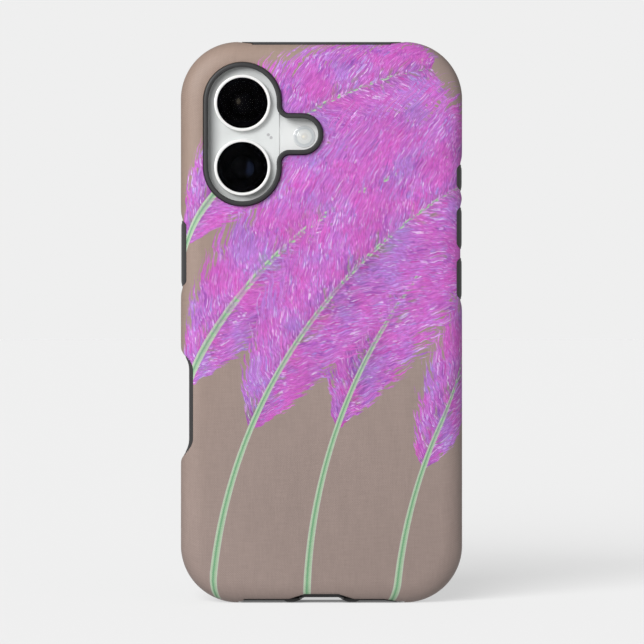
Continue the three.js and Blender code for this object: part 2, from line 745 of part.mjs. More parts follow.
// A flat ring on the inside of the back glass.
function flatRing(inner, outer) {
  const back = BACK - BACK_GLASS - SEAT_GAP;
  const front = back - COIL.thickness;
  return turned([[inner, front], [outer, front], [outer, back], [inner, back], [inner, front]],
    0, COIL.z);
}

function innerBox({ x, z, top, front = FLOOR }) {
  return block(x[0], x[1], front, top, z[0], z[1]);
}

function keySwitch(key) {
  const flangeBottom = HALF_WIDTH - FRAME.wall - CAP.inside - CAP.flange;
  const outer = flangeBottom - SWITCH.gap;
  const from = key.side * outer;
  const to = key.side * (outer - SWITCH.depth);
  const half = SWITCH.length / 2;
  return block(Math.min(from, to), Math.max(from, to), FLOOR, SWITCH.top, key.z - half, key.z + half);
}

// ---- Assembly -------------------------------------------------------------------------------

const part = new THREE.Group();
part.position.set(0, (RING.top + LIP.front) / 2, SHELL);

function place(group, name, geometry, materialName) {
  const mesh = new THREE.Mesh(geometry, MATERIALS[materialName]);
  mesh.name = name;
  group.add(mesh);
  return mesh;
}

const casing = new THREE.Group();
place(casing, 'case_shell', geometryOf(caseShell()), 'print');
place(casing, 'case_liner', geometryOf(caseLiner()), 'rubber');
part.add(casing);

const phone = new THREE.Group();
place(phone, 'phone_frame', geometryOf(phoneFrame()), 'aluminium');
place(phone, 'back_glass', geometryOf(backGlass()), 'whiteGlass');
place(phone, 'cover_glass', depthPrism(bodyOutline(-FRAME.seat - SEAT_GAP), 0, COVER_GLASS),
  'blackGlass');
place(phone, 'display_panel', displayPanel(), 'screen');
for (const [name, z] of Object.entries(LENS.heights)) {
  place(phone, `lens_ring_${name}`, lensRing(z), 'aluminium');
  const glass = depthPrism(disc(LENS.x, z, LENS.glassRadius), LENS.glassBack, LENS.glassTop,
    CIRCLE_STEPS);
  place(phone, `lens_glass_${name}`, glass, 'blackGlass');
  place(phone, `rear_camera_${name}`, rearCamera(z), 'plastic');
}
const flash = flashUnit();
place(phone, 'flash_lens', flash.lens, 'diffuser');
place(phone, 'flash_carrier', flash.carrier, 'board');
place(phone, 'rear_microphone', rearMicrophone(), 'steel');
place(phone, 'plug_socket', geometryOf(plugSocket()), 'steel');
place(phone, 'plug_tongue', plugTongue(), 'plastic');
for (const [name, x] of [['left', -SCREW.x], ['right', SCREW.x]]) {
  const mesh = place(phone, `bottom_screw_${name}`, screw(), 'steel');
  mesh.position.set(x, -KEY_DEPTH, 0);
}
place(phone, 'speaker_mesh', soundMesh(SOUND_HOLE.leftStart, SOUND_HOLE.left), 'plastic');
place(phone, 'microphone_mesh', soundMesh(SOUND_HOLE.rightStart, SOUND_HOLE.right), 'plastic');
place(phone, 'front_camera', frontCamera(), 'plastic');
for (const [name, size] of Object.entries(INNER_BOXES)) {
  place(phone, name, innerBox(size), size.material);
}
place(phone, 'charging_coil', flatRing(COIL.inner, COIL.outer), 'copper');
place(phone, 'magnet_ring', flatRing(COIL.magnetInner, COIL.magnetOuter), 'steel');
part.add(phone);

// Each key moves along X: the phone's cap, and the pad of the case that presses it.
for (const [name, key] of Object.entries(KEYS)) {
  const group = new THREE.Group();
  place(group, `${name}_pad`, pad(key), 'rubber');
  place(group, `${name}_cap`, cap(key, CAP.width, CAP.proud), 'aluminium');
  part.add(group);
  place(phone, `${name}_switch`, keySwitch(key), 'plastic');
}
place(part, 'camera_control_cap', cap(CAMERA_CONTROL, CAMERA_CONTROL.width, CAMERA_CONTROL.proud),
  'aluminium');
place(phone, 'camera_control_switch', keySwitch(CAMERA_CONTROL), 'plastic');

export default part;
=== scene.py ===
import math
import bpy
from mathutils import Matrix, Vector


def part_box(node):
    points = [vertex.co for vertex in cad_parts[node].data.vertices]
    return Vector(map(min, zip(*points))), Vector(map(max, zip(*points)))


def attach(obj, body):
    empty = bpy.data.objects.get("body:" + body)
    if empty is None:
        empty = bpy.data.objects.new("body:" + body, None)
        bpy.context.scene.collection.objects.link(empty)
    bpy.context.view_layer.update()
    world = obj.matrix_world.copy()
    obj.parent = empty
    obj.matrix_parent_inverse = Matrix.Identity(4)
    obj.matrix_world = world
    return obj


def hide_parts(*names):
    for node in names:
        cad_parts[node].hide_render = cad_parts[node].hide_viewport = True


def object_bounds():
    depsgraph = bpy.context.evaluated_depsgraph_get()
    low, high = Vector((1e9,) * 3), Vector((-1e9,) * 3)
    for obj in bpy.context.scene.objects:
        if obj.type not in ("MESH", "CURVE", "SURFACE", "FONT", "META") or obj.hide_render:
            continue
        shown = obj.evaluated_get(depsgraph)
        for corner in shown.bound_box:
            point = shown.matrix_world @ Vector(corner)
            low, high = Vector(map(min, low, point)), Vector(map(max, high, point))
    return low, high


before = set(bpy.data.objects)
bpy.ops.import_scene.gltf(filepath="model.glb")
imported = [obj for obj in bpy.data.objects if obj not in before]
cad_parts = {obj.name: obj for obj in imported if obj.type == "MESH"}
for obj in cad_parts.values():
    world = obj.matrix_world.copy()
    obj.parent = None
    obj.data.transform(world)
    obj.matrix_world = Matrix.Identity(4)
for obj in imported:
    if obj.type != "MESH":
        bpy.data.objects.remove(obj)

# A printed two-layer phone case, fitted on its phone and standing on its bottom edge.
#
# Shapes are worked out in millimetres in the phone's own frame: x across, seen from the printed back,
# z up from the phone's bottom edge, and depth back from its front glass. place() takes them to metres.

from types import SimpleNamespace as Sizes

import bmesh
import bpy
from mathutils import Vector
from mathutils.bvhtree import BVHTree

CAD_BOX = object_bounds()
MM = 0.001
FRONT_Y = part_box("cover_glass")[1][1] / MM
BOTTOM_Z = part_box("phone_frame")[0][2] / MM
ROOT = "cased_phone"

# ---- Sizes ----

PHONE = Sizes(width=71.6, height=147.6, depth=7.8, corner=13.1, edge=1.3)
HALF_WIDTH = PHONE.width / 2
BACK = PHONE.depth

# Layers of the case, as distances out from the phone's own surface.
POCKET = 0.1
LINER = 1.3
SHELL_INSIDE = 1.4
SHELL = 2.5
BOSS = 2.2
GAP = 0.1
SHELL_EASE = 6.0
LIP = Sizes(outer=2.3, inner=-1.9, front=-1.1, back=-0.1, round=0.35)

WINDOW = Sizes(x=-21.43, z=124.75, half_width=10.53, half_straight=8.9, lobe_reach=16.24,
               lobe_radius=5.52, fillet=2.2, gap=0.12)
RING = Sizes(top=11.65, rim=1.24, wall=0.5, foot=0.15, wall_top=9.85, foot_top=8.75)
PLATEAU = Sizes(top=9.7, half_width=10.0, foot=0.1, round=0.12, shaded=4.8, rim_end=1.3)
LENS = Sizes(x=-21.44, heights={"upper": 133.2, "lower": 115.75}, ring=7.66, glass=6.85, ledge=6.25,
             top=11.2, glass_top=11.05, glass_back=10.65)
BARREL_SIZES = Sizes(foot=6.9, radius=5.9, bore=5.55, ledge=0.12, floor_radius=3.3, floor=1.9,
                     steps=((5.3, 0.12), (4.9, 0.45), (4.5, 0.8), (4.1, 1.15), (3.7, 1.5)))
DOME = Sizes(radius=5.2, reach=3.2, under=1.85, edge=0.25, steps=12)
FLASH = Sizes(x=-4.69, z=124.26, radius=3.0, proud=0.02, sunk=0.62, crown=0.08, ridges=5,
              ridge_start=2.75, ridge_pitch=0.36)
MICROPHONE = Sizes(x=-14.05, z=124.25, radius=0.42, apart=0.38, disc=1.0, deep=0.6, sunk=0.1)

KEY_DEPTH = 3.9
KEYS = {
    "power": Sizes(side=-1, z=92.5, pad=17.9),
    "action": Sizes(side=1, z=113.2, pad=7.05),
    "volume_up": Sizes(side=1, z=99.4, pad=11.35),
    "volume_down": Sizes(side=1, z=85.7, pad=11.3),
}
CAMERA_CONTROL = Sizes(side=-1, z=51.3, length=16.4, width=2.6)
PAD = Sizes(width=3.4, cover=0.5, clearance=0.3, inner=0.4, proud=2.43, round=0.4)
SLOT = Sizes(front=1.5, back=9.1, corner=1.6)
RELIEF = Sizes(depth=0.5, slope=1.7, margin=0.3)

NOTCH = Sizes(top=66.5, floor_top=60.6, floor_bottom=42.4, bottom=36.2, liner=-0.2, shell=0.95,
              spread=1.0, shoulder=2.4, ease=3.0)
NOTCH_WINDOW = Sizes(front=0.6, back=7.4, top=61.2, bottom=41.4, corner=2.0)
PORT = Sizes(liner_foot=7.4, liner_head=4.6, shell_foot=8.9, shell_head=4.7, post_end=9.1, post_rise=10.2,
             liner_top=-0.98, shell_top=0.0, half_window=7.0, front=0.7, back=7.1)
BOTTOM_CUT = Sizes(left=-20.9, right=17.2, right_end=22.0, left_step=1.0, liner=-1.83, shell=-1.48,
                   thin=0.02)
SOUND_WINDOW = Sizes(front=2.5, back=5.3, spans=((-20.2, -10.4), (10.6, 18.2)))
TOP_CUT = Sizes(half_width=22.0, taper=3.2, depth=0.5)
EDGE_CUT = Sizes(back=8.5, bottom=-1.2)
WEDGE_END = 0.3
FRAME = Sizes(wall=1.8, seat=1.45)
COVER_GLASS = 0.6
BACK_GLASS = 0.7
PLUG = Sizes(width=8.3, height=2.6, wall=0.3, depth=6.6, tongue_width=6.7, tongue_height=0.7)
SCREW = Sizes(x=6, head=0.8, head_depth=0.6)
SOUND_HOLES = Sizes(radius=0.75, pitch=2.4, rows=((-18.9, 4), (11.9, 3)))

FAR = 60.0
SIDE_STEP = 0.25
CORNER_STEPS = 22
ROUND_STEPS = 16
SOFT = 0.22


def place(x, depth, z):
    return Vector((x, FRONT_Y - depth, BOTTOM_Z + z)) * MM


# ---- Outlines, as lists of (x, z) that run anticlockwise seen from behind ----

def arc(x, z, radius, start, end, steps):
    """Points round a part of a circle, from one angle in degrees to another."""
    points = []
    for i in range(steps + 1):
        angle = math.radians(start + (end - start) * i / steps)
        points.append((x + radius * math.cos(angle), z + radius * math.sin(angle)))
    return points


def circle(x, z, radius, steps=64):
    return arc(x, z, radius, 0, 360, steps)[:-1]


def rounded_rect(x, z, width, height, radius, steps=8):
    across, up = width / 2 - radius, height / 2 - radius
    corners = ((across, up, 0), (-across, up, 90), (-across, -up, 180), (across, -up, 270))
    return [point for dx, dz, start in corners
            for point in arc(x + dx, z + dz, radius, start, start + 90, steps)]


def stadium(x, z, length, width, steps=12):
    """A long hole's outline, lying along the first axis."""
    reach = (length - width) / 2
    return (arc(x + reach, z, width / 2, -90, 90, steps)
            + arc(x - reach, z, width / 2, 90, 270, steps))


def pill(half_width, steps=40):
    """The camera plateau's upright outline."""
    x, z = WINDOW.x, WINDOW.z
    return (arc(x, z + WINDOW.half_straight, half_width, 0, 180, steps)
            + arc(x, z - WINDOW.half_straight, half_width, 180, 360, steps))


def window_outline(inset):
    """The camera window, moved in by inset from its raised ring's outer edge."""
    radius = WINDOW.half_width - inset
    lobe = WINDOW.lobe_radius - inset
    fillet = WINDOW.fillet + inset
    x, z = WINDOW.x, WINDOW.z
    fillet_x, fillet_up = x + radius + fillet, lobe + fillet
    return (arc(fillet_x, z - fillet_up, fillet, 180, 90, 12)
            + arc(x + WINDOW.lobe_reach, z, lobe, -90, 90, 28)
            + arc(fillet_x, z + fillet_up, fillet, -90, -180, 12)
            + arc(x, z + WINDOW.half_straight, radius, 0, 180, 48)
            + arc(x, z - WINDOW.half_straight, radius, 180, 360, 48))


def along(points):
    """The broken line through (place, value) points, as a function that carries on level."""
    def value(at):
        if at <= points[0][0]:
            return points[0][1]
        for (a, low), (b, high) in zip(points, points[1:]):
            if at <= b:
                return low + (high - low) * (at - a) / (b - a)
        return points[-1][1]
    return value


def softer_of(a, b):
    """The larger of two numbers, with the corner where they cross rounded off."""
    return (a + b + math.sqrt((a - b) ** 2 + SOFT * SOFT)) / 2


def no_cut(_):
    return -FAR


def cuts(**sides):
    """How far in each side of an outline is cut, as a function of the place along it."""
    return Sizes(**{side: sides.get(side, no_cut) for side in ("left", "right", "bottom", "top")})


def body_outline(offset, cut=None):
    """The phone's outline moved out by offset. Cuts need points all the way along the sides."""
    half, radius = HALF_WIDTH + offset, PHONE.corner + offset
    top, bottom = PHONE.height + offset, -offset
    inner_x, low, high = HALF_WIDTH - PHONE.corner, PHONE.corner, PHONE.height - PHONE.corner
    corners = [arc(x, z, radius, start, start + 90, CORNER_STEPS) for x, z, start in
               ((inner_x, high, 0), (-inner_x, high, 90), (-inner_x, low, 180), (inner_x, low, 270))]
    if cut is None:
        return [point for corner in corners for point in corner]
    rows = round((high - low) / SIDE_STEP)
    heights = [low + (high - low) * i / rows for i in range(1, rows)]
    columns = round(2 * inner_x / SIDE_STEP)
    places = [-inner_x + 2 * inner_x * i / columns for i in range(1, columns)]
    right = [(-softer_of(-half, cut.right(z)), z) for z in heights]
    left = [(softer_of(-half, cut.left(z)), z) for z in reversed(heights)]
    over = [(x, -softer_of(-top, cut.top(x))) for x in reversed(places)]
    under = [(x, softer_of(bottom, cut.bottom(x))) for x in places]
    return corners[3] + right + corners[0] + over + corners[1] + left + corners[2] + under


# ---- What is cut into the sides of the shell and the liner ----

def relief(*keys):
    """A shallow dish in the shell's side along a run of pads, sloping out at both ends."""
    bottom = min(key.z - key.pad / 2 for key in keys) - RELIEF.margin
    top = max(key.z + key.pad / 2 for key in keys) + RELIEF.margin
    reach = RELIEF.slope * (1 + 1 / RELIEF.depth)
    outer = -(HALF_WIDTH + SHELL)
    return along([(bottom - reach, outer - 1), (bottom, outer + RELIEF.depth),
                  (top, outer + RELIEF.depth), (top + reach, outer - 1)])


def notch_curve(inset):
    """The open notch beside the camera control, down to its floor with an eased curve at each end."""
    outer, floor = -(HALF_WIDTH + SHELL), -(HALF_WIDTH - inset)
    lower = ((outer, NOTCH.bottom), (outer + NOTCH.spread, NOTCH.bottom + NOTCH.shoulder),
             (floor, NOTCH.floor_bottom - NOTCH.ease), (floor, NOTCH.floor_bottom))
    upper = ((floor, NOTCH.floor_top), (floor, NOTCH.floor_top + NOTCH.ease),
             (outer + NOTCH.spread, NOTCH.top - NOTCH.shoulder), (outer, NOTCH.top))
    points = [point for bend in (lower, upper) for point in bezier(bend, 24)]
    run = 6
    fall = run * NOTCH.spread / NOTCH.shoulder
    return [(outer - fall, NOTCH.bottom - run), *points, (outer - fall, NOTCH.top + run)]


def notch_edge(inset):
    return along([(z, x) for x, z in notch_curve(inset)])


def bezier(bend, steps):
    a, b, c, d = (Vector(point) for point in bend)
    ways = [i / steps for i in range(steps + 1)]
    return [tuple(a * (1 - t) ** 3 + b * 3 * t * (1 - t) ** 2 + c * 3 * t * t * (1 - t) + d * t ** 3)
            for t in ways]


def deeper_of(*lines):
    return lambda at: max(line(at) for line in lines)


def shell_bottom():
    cut = BOTTOM_CUT
    left_end = cut.left - cut.left_step
    edge = along([(left_end - cut.left_step, cut.shell - 2 * (SHELL + cut.shell)), (left_end, -SHELL),
                  (cut.left, cut.shell), (cut.right, cut.shell), (cut.right_end, -SHELL),
                  (cut.right_end + 2, -SHELL - 0.4)])
    slope = (cut.shell - PORT.shell_top) / (PORT.shell_foot - PORT.shell_head)
    foot = (PORT.shell_foot + 2, cut.shell + 2 * slope)
    port = along([(-foot[0], foot[1]), (-PORT.shell_head, PORT.shell_top),
                  (PORT.shell_head, PORT.shell_top), foot])
    return deeper_of(edge, port)


def liner_bottom():
    """The liner's lower edge: thin at both ends, on the floor at two posts, raised between them."""
    cut, floor = BOTTOM_CUT, -SHELL - 0.1
    wide = PORT.liner_foot + 0.2
    right = [(PORT.liner_head, PORT.liner_top), (wide, floor), (PORT.post_end, floor),
             (PORT.post_rise, cut.liner)]
    left = [(-x, z) for x, z in reversed(right)]
    thick = cut.liner - cut.shell
    return along([(cut.left - cut.left_step, -SHELL), (cut.left, cut.liner), *left, *right,
                  (cut.right, cut.liner), ((cut.right + cut.right_end) / 2, (cut.shell - SHELL + thick) / 2),
                  (cut.right_end, -SHELL)])


def shell_top():
    top = -(PHONE.height + SHELL)
    half, flat = TOP_CUT.half_width, TOP_CUT.half_width - TOP_CUT.taper
    slope = TOP_CUT.depth / TOP_CUT.taper
    return along([(-half - 2, top - 2 * slope), (-flat, top + TOP_CUT.depth),
                  (flat, top + TOP_CUT.depth), (half + 2, top - 2 * slope)])


SHELL_CUTS = cuts(
    left=deeper_of(relief(KEYS["power"]), notch_edge(NOTCH.shell)),
    right=deeper_of(relief(KEYS["action"]), relief(KEYS["volume_up"], KEYS["volume_down"])),
    bottom=shell_bottom(),
    top=shell_top(),
)
LINER_CUTS = cuts(left=notch_edge(NOTCH.liner))
EDGE_CUTS = cuts(bottom=liner_bottom())

# ---- Making meshes ----


def loft(rings, loop=False):
    """A skin through rings of (x, depth, z) points, capped, or joined end to end."""
    mesh = bmesh.new()
    rows = [[mesh.verts.new(place(*point)) for point in ring] for ring in rings]
    pairs = list(zip(rows, rows[1:]))
    if loop:
        pairs.append((rows[-1], rows[0]))
    for near, far in pairs:
        count = max(len(near), len(far))
        for j in range(count):
            k = (j + 1) % count
            corners = [near[j % len(near)], near[k % len(near)], far[k % len(far)], far[j % len(far)]]
            mesh.faces.new(list(dict.fromkeys(corners)))
    if not loop:
        for row in (rows[0], rows[-1]):
            if len(row) > 1:
                mesh.faces.new(row)
    bmesh.ops.recalc_face_normals(mesh, faces=mesh.faces)
    return mesh


def at_depth(outline, depth):
    return [(x, depth, z) for x, z in outline]


def at_side(outline, x):
    """An outline in (z, depth), at a distance across."""
    return [(x, depth, z) for z, depth in outline]


def at_height(outline, z):
    """An outline in (x, depth), at a height."""
    return [(x, depth, z) for x, depth in outline]


def body(mesh, name="tool"):
    """A new object with this mesh."""
    data = bpy.data.meshes.new(name)
    mesh.to_mesh(data)
    mesh.free()
    piece = bpy.data.objects.new(name, data)
    bpy.context.scene.collection.objects.link(piece)
    return piece


def settle(piece):
    """Turns a piece's modifiers into its own mesh."""
    bpy.context.view_layer.update()
    evaluated = piece.evaluated_get(bpy.context.evaluated_depsgraph_get())
    data = bpy.data.meshes.new_from_object(evaluated)
    piece.modifiers.clear()
    old = piece.data
    piece.data = data
    bpy.data.meshes.remove(old)
    return piece


def combined(base, operation, tools):
    for tool in tools:
        modifier = base.modifiers.new("combine", "BOOLEAN")
        modifier.operation = operation
        modifier.solver = "MANIFOLD"
        modifier.object = tool
    settle(base)
    for tool in tools:
        data = tool.data
        bpy.data.objects.remove(tool)
        bpy.data.meshes.remove(data)
    return base


def cut(base, *tools):
    return combined(base, "DIFFERENCE", tools)


def join(base, *tools):
    return combined(base, "UNION", tools)


def keep(base, *tools):
    return combined(base, "INTERSECT", tools)


def smooth(piece, angle):
    """Smooth shading with crisp edges, in which large flat faces stay flat."""
    bmesh_of = bmesh.new()
    bmesh_of.from_mesh(piece.data)
    bmesh.ops.remove_doubles(bmesh_of, verts=bmesh_of.verts, dist=0.002 * MM)
    bmesh.ops.dissolve_degenerate(bmesh_of, edges=bmesh_of.edges, dist=0.001 * MM)
    bmesh_of.to_mesh(piece.data)
    bmesh_of.free()
    piece.data.shade_smooth()
    piece.data.set_sharp_from_angle(angle=math.radians(angle))
    weighted = piece.modifiers.new("weighted", "WEIGHTED_NORMAL")
    weighted.keep_sharp = True
    return settle(piece)


def finish(piece, name, slot, material, *stands_for, rides=ROOT, angle=32):
    """Smooths a finished piece, unless angle is None, names it, dresses it and ties it to the frame."""
    if angle is not None:
        smooth(piece, angle)
    piece.name = name
    piece.data.name = name
    piece.data.materials.clear()
    for one in (material if isinstance(material, (list, tuple)) else [material]):
        piece.data.materials.append(one)
    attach(piece, rides)
    if stands_for:
        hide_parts(*stands_for)
    return piece


def prism(outline, front, back):
    return body(loft([at_depth(outline, front), at_depth(outline, back)]))


def side_prism(outline, start, end):
    return body(loft([at_side(outline, start), at_side(outline, end)]))


def upright_prism(outline, bottom, top):
    return body(loft([at_height(outline, bottom), at_height(outline, top)]))


def block(x0, x1, front, back, z0, z1):
    return prism([(x0, z0), (x1, z0), (x1, z1), (x0, z1)], front, back)


def round_over(radius, steps=ROUND_STEPS, reach=None):
    """Points round a quarter of an edge, as (inset, rise) from where it leaves the side."""
    turns = [math.radians(90 * i / steps) for i in range(1, steps + 1)]
    return [((reach or radius) * (1 - math.cos(turn)), radius * math.sin(turn)) for turn in turns]


def layer(offset, front, cut_in=None, reach=None):
    """A case layer's outside: flat in front, rounded at the back, where the round may reach further in."""
    radius = PHONE.edge + offset
    start = BACK + offset - radius
    rings = [at_depth(body_outline(offset, cut_in), front), at_depth(body_outline(offset, cut_in), start)]
    for inset, rise in round_over(radius, reach=reach):
        rings.append(at_depth(body_outline(offset - inset, cut_in), start + rise))
    return body(loft(rings))


def phone_body(offset):
    """The phone's own form moved out by offset, rounded in front and behind."""
    radius = PHONE.edge + offset
    rings = []
    for inset, rise in reversed(round_over(radius, 8)):
        rings.append(at_depth(body_outline(offset - inset), radius - offset - rise))
    rings.append(at_depth(body_outline(offset), radius - offset))
    rings.append(at_depth(body_outline(offset), BACK + offset - radius))
    for inset, rise in round_over(radius, 8):
        rings.append(at_depth(body_outline(offset - inset), BACK + offset - radius + rise))
    return body(loft(rings))


def swept(outline_at, profile):
    """A closed ring: the profile's (inset, depth) points carried round an outline."""
    return body(loft([at_depth(outline_at(inset), depth) for inset, depth in profile], loop=True))


def turned(profile, x, z, steps=96, closed=False):
    """A piece turned round an axis through the depth, from (radius, depth) points."""
    rings = []
    for radius, depth in profile:
        rings.append([(x, depth, z)] if radius == 0 else at_depth(circle(x, z, radius, steps), depth))
    return body(loft(rings, loop=closed))


def corner(x, depth, radius, start, end, steps=5):
    """A rounded corner of a profile."""
    return arc(x, depth, radius, start, end, steps)


# ---- Shader helpers ----


class Field:
    """A value that varies over a surface: one output of a shader node, written in sums."""

    def __init__(self, tree, socket):
        self.tree = tree
        self.socket = socket

    def maths(self, operation, *others):
        return added(self.tree, "ShaderNodeMath", enumerate((self, *others)), operation=operation)

    def __add__(self, other):
        return self.maths("ADD", other)

    def __sub__(self, other):
        return self.maths("SUBTRACT", other)

    def __rsub__(self, other):
        return (self * -1) + other

    def __mul__(self, other):
        return self.maths("MULTIPLY", other)

    def __truediv__(self, other):
        return self.maths("DIVIDE", other)

    def __pow__(self, other):
        return self.maths("POWER", other)

    def size(self):
        return self.maths("ABSOLUTE")

    def sine(self):
        return self.maths("SINE")

    def within(self, low=0.0, high=1.0):
        return self.maths("MAXIMUM", low).maths("MINIMUM", high)

    def rising(self, low, high):
        """0 below low, 1 above high, and eased between them."""
        return added(self.tree, "ShaderNodeMapRange", enumerate((self, low, high, 0.0, 1.0)),
                     interpolation_type="SMOOTHSTEP")

    __radd__ = __add__
    __rmul__ = __mul__


def plug(tree, socket, value):
    if isinstance(value, Field):
        tree.links.new(value.socket, socket)
    elif value is not None:
        socket.default_value = value


def added(tree, kind, inputs, output=0, **settings):
    """Adds a node, with its settings and its inputs as (socket, value) pairs, and returns an output."""
    node = tree.nodes.new(kind)
    for setting, value in settings.items():
        setattr(node, setting, value)
    for socket, value in inputs:
        plug(tree, node.inputs[socket], value)
    return Field(tree, node.outputs[output])


def vector(tree, x, y, z=0.0):
    return added(tree, "ShaderNodeCombineXYZ", enumerate((x, y, z)))


def parts(tree, where):
    first = added(tree, "ShaderNodeSeparateXYZ", [(0, where)])
    return [Field(tree, output) for output in first.socket.node.outputs]


def noise(tree, where, scale, detail=2.0, roughness=0.5, distortion=0.0, flat=False):
    return added(tree, "ShaderNodeTexNoise", (
        ("Vector", where), ("Scale", scale), ("Detail", detail), ("Roughness", roughness),
        ("Distortion", distortion)), noise_dimensions="2D" if flat else "3D")


def dabs(tree, x, y):
    """A flat field of brush dabs: the way out from each dab's middle, and two random values of its own."""
    distance = added(tree, "ShaderNodeTexVoronoi", (
        ("Vector", vector(tree, x, y)), ("Scale", 1.0), ("Randomness", 0.95)),
        output="Distance", voronoi_dimensions="2D")
    colour = Field(tree, distance.socket.node.outputs["Color"])
    first, second, _ = parts(tree, colour)
    return distance, first, second


def ramp(tree, factor, stops):
    shade = added(tree, "ShaderNodeValToRGB", [(0, factor)])
    band = shade.socket.node.color_ramp
    while len(band.elements) < len(stops):
        band.elements.new(0.5)
    for element, (position, colour) in zip(band.elements, stops):
        element.position = position
        element.color = (*colour, 1.0)
    return shade


def mixed(tree, factor, first, second):
    pair = [value if isinstance(value, Field) else (*value, 1.0) for value in (first, second)]
    return added(tree, "ShaderNodeMix", (("Factor", factor), (6, pair[0]), (7, pair[1])),
                 output=2, data_type="RGBA")


def toned(tree, colour, factor):
    """A colour made darker or lighter by a factor."""
    return added(tree, "ShaderNodeVectorMath", ((0, colour), ("Scale", factor)), operation="SCALE")


def scaled(tree, where, x, y, z):
    return added(tree, "ShaderNodeVectorMath", ((0, where), (1, (x, y, z))), operation="MULTIPLY")


def object_place(tree):
    return added(tree, "ShaderNodeTexCoord", (), output="Object")


def own_place(tree):
    """The place on the object as x, y and z in millimetres."""
    return parts(tree, scaled(tree, object_place(tree), *[1 / MM] * 3))


def distance_of(across, up):
    return (across * across + up * up) ** 0.5


def bumped(tree, height, distance, strength):
    return added(tree, "ShaderNodeBump", (
        ("Distance", distance), ("Strength", strength), ("Height", height)))


def new_group(name, takes, gives):
    """A shader node group: its tree, what it takes by name, and a function that fills its outputs."""
    tree = bpy.data.node_groups.new(name, "ShaderNodeTree")
    kinds = {"value": "NodeSocketFloat", "colour": "NodeSocketColor", "vector": "NodeSocketVector"}
    for label, (kind, value) in takes.items():
        socket = tree.interface.new_socket(label, in_out="INPUT", socket_type=kinds[kind])
        if value is not None:
            socket.default_value = value
    for label, kind in gives.items():
        tree.interface.new_socket(label, in_out="OUTPUT", socket_type=kinds[kind])
    entry = tree.nodes.new("NodeGroupInput")
    leave = tree.nodes.new("NodeGroupOutput")
    taken = {label: Field(tree, entry.outputs[label]) for label in takes}

    def give(**values):
        for label, value in values.items():
            plug(tree, leave.inputs[label.replace("_", " ").capitalize()], value)
    return tree, taken, give


def use(tree, group, **values):
    """Places a group in a material and returns its outputs by name."""
    node = tree.nodes.new("ShaderNodeGroup")
    node.node_tree = group
    for label, value in values.items():
        plug(tree, node.inputs[label.replace("_", " ").capitalize()], value)
    return Sizes(**{out.name.lower().replace(" ", "_"): Field(tree, out) for out in node.outputs})


def new_material(name, **surface):
    """A material whose one shader is a Principled BSDF, with its plain values set."""
    material = bpy.data.materials.new(name)
    material.use_nodes = True
    shader = material.node_tree.nodes["Principled BSDF"]
    for label, value in surface.items():
        shader.inputs[label.replace("_", " ")].default_value = value
    return material, material.node_tree, shader


def dress(tree, shader, colour, roughness, normal=None):
    """Plugs a finish's colour, gloss and bump into its shader."""
    plug(tree, shader.inputs["Base Color"], colour)
    plug(tree, shader.inputs["Roughness"], roughness)
    plug(tree, shader.inputs["Normal"], normal)


# ---- Shared surface effects ----


def grain_group():
    """The fine moulded or blasted grain of a surface: a mottled value, and its bump."""
    tree, taken, give = new_group("surface_grain", {
        "Position": ("vector", None),
        "Size": ("value", 0.2),
        "Depth": ("value", 0.3),
        "Mottle size": ("value", 6.0),
    }, {"Mottle": "value", "Normal": "vector"})
    fine = noise(tree, taken["Position"], taken["Size"] ** -1 * 1000, 3.0, 0.6)
    broad = noise(tree, taken["Position"], taken["Mottle size"] ** -1 * 1000, 4.0, 0.55)
    give(mottle=broad, normal=bumped(tree, fine, 0.02 * MM, taken["Depth"]))
    return tree


GRAIN = grain_group()


def mottled(tree, effect, darker, lighter):
    return mixed(tree, effect.mottle.rising(0.3, 0.7), darker, lighter)


def plain_finish(name, colour, roughness, grain=0.2, depth=0.3, spread=0.12, mottle=6.0, **surface):
    """A moulded, blasted or printed finish: colour and gloss vary a little, over a fine grain."""
    material, tree, shader = new_material(name, **surface)
    effect = use(tree, GRAIN, position=object_place(tree), size=grain, depth=depth, mottle_size=mottle)
    darker = [channel * (1 - spread) for channel in colour]
    lighter = [min(1.0, channel * (1 + spread)) for channel in colour]
    shade = mottled(tree, effect, darker, lighter)
    dress(tree, shader, shade, effect.mottle * 0.12 + (roughness - 0.06), effect.normal)
    return material


# ---- The print ----

THREAD = 0.62
GROUND = (0.361, 0.273, 0.243)
WARM_GROUND = (0.370, 0.266, 0.215)
SHADE, PURPLE, BLUE_LILAC = (0.120, 0.055, 0.160), (0.300, 0.070, 0.440), (0.330, 0.210, 0.640)
ORCHID, PALE_ORCHID, LILAC = (0.455, 0.095, 0.510), (0.590, 0.190, 0.640), (0.700, 0.440, 0.790)
MAGENTA, PINK, OLIVE = (0.520, 0.055, 0.400), (0.620, 0.130, 0.530), (0.360, 0.250, 0.220)
WASH = ((0.28, PURPLE), (0.42, ORCHID), (0.54, PALE_ORCHID), (0.66, ORCHID), (0.78, PINK))
MAIN_DABS = ((0.0, PURPLE), (0.15, ORCHID), (0.34, PALE_ORCHID), (0.50, MAGENTA), (0.66, ORCHID),
             (0.80, PINK), (0.90, BLUE_LILAC), (1.0, LILAC))
TOP_DABS = ((0.0, LILAC), (0.35, PALE_ORCHID), (0.6, PINK), (0.78, BLUE_LILAC), (1.0, (0.88, 0.74, 0.93)))
HOT_PINK = (0.640, 0.085, 0.500)
DEEP_DABS = ((0.0, (0.20, 0.10, 0.30)), (0.4, PURPLE), (0.7, (0.44, 0.04, 0.34)), (1.0, OLIVE))
RIB_LIGHT = (0.50, 0.63, 0.45)
RIB_DARK = (0.15, 0.37, 0.18)
SEPAL = (0.26, 0.32, 0.22)


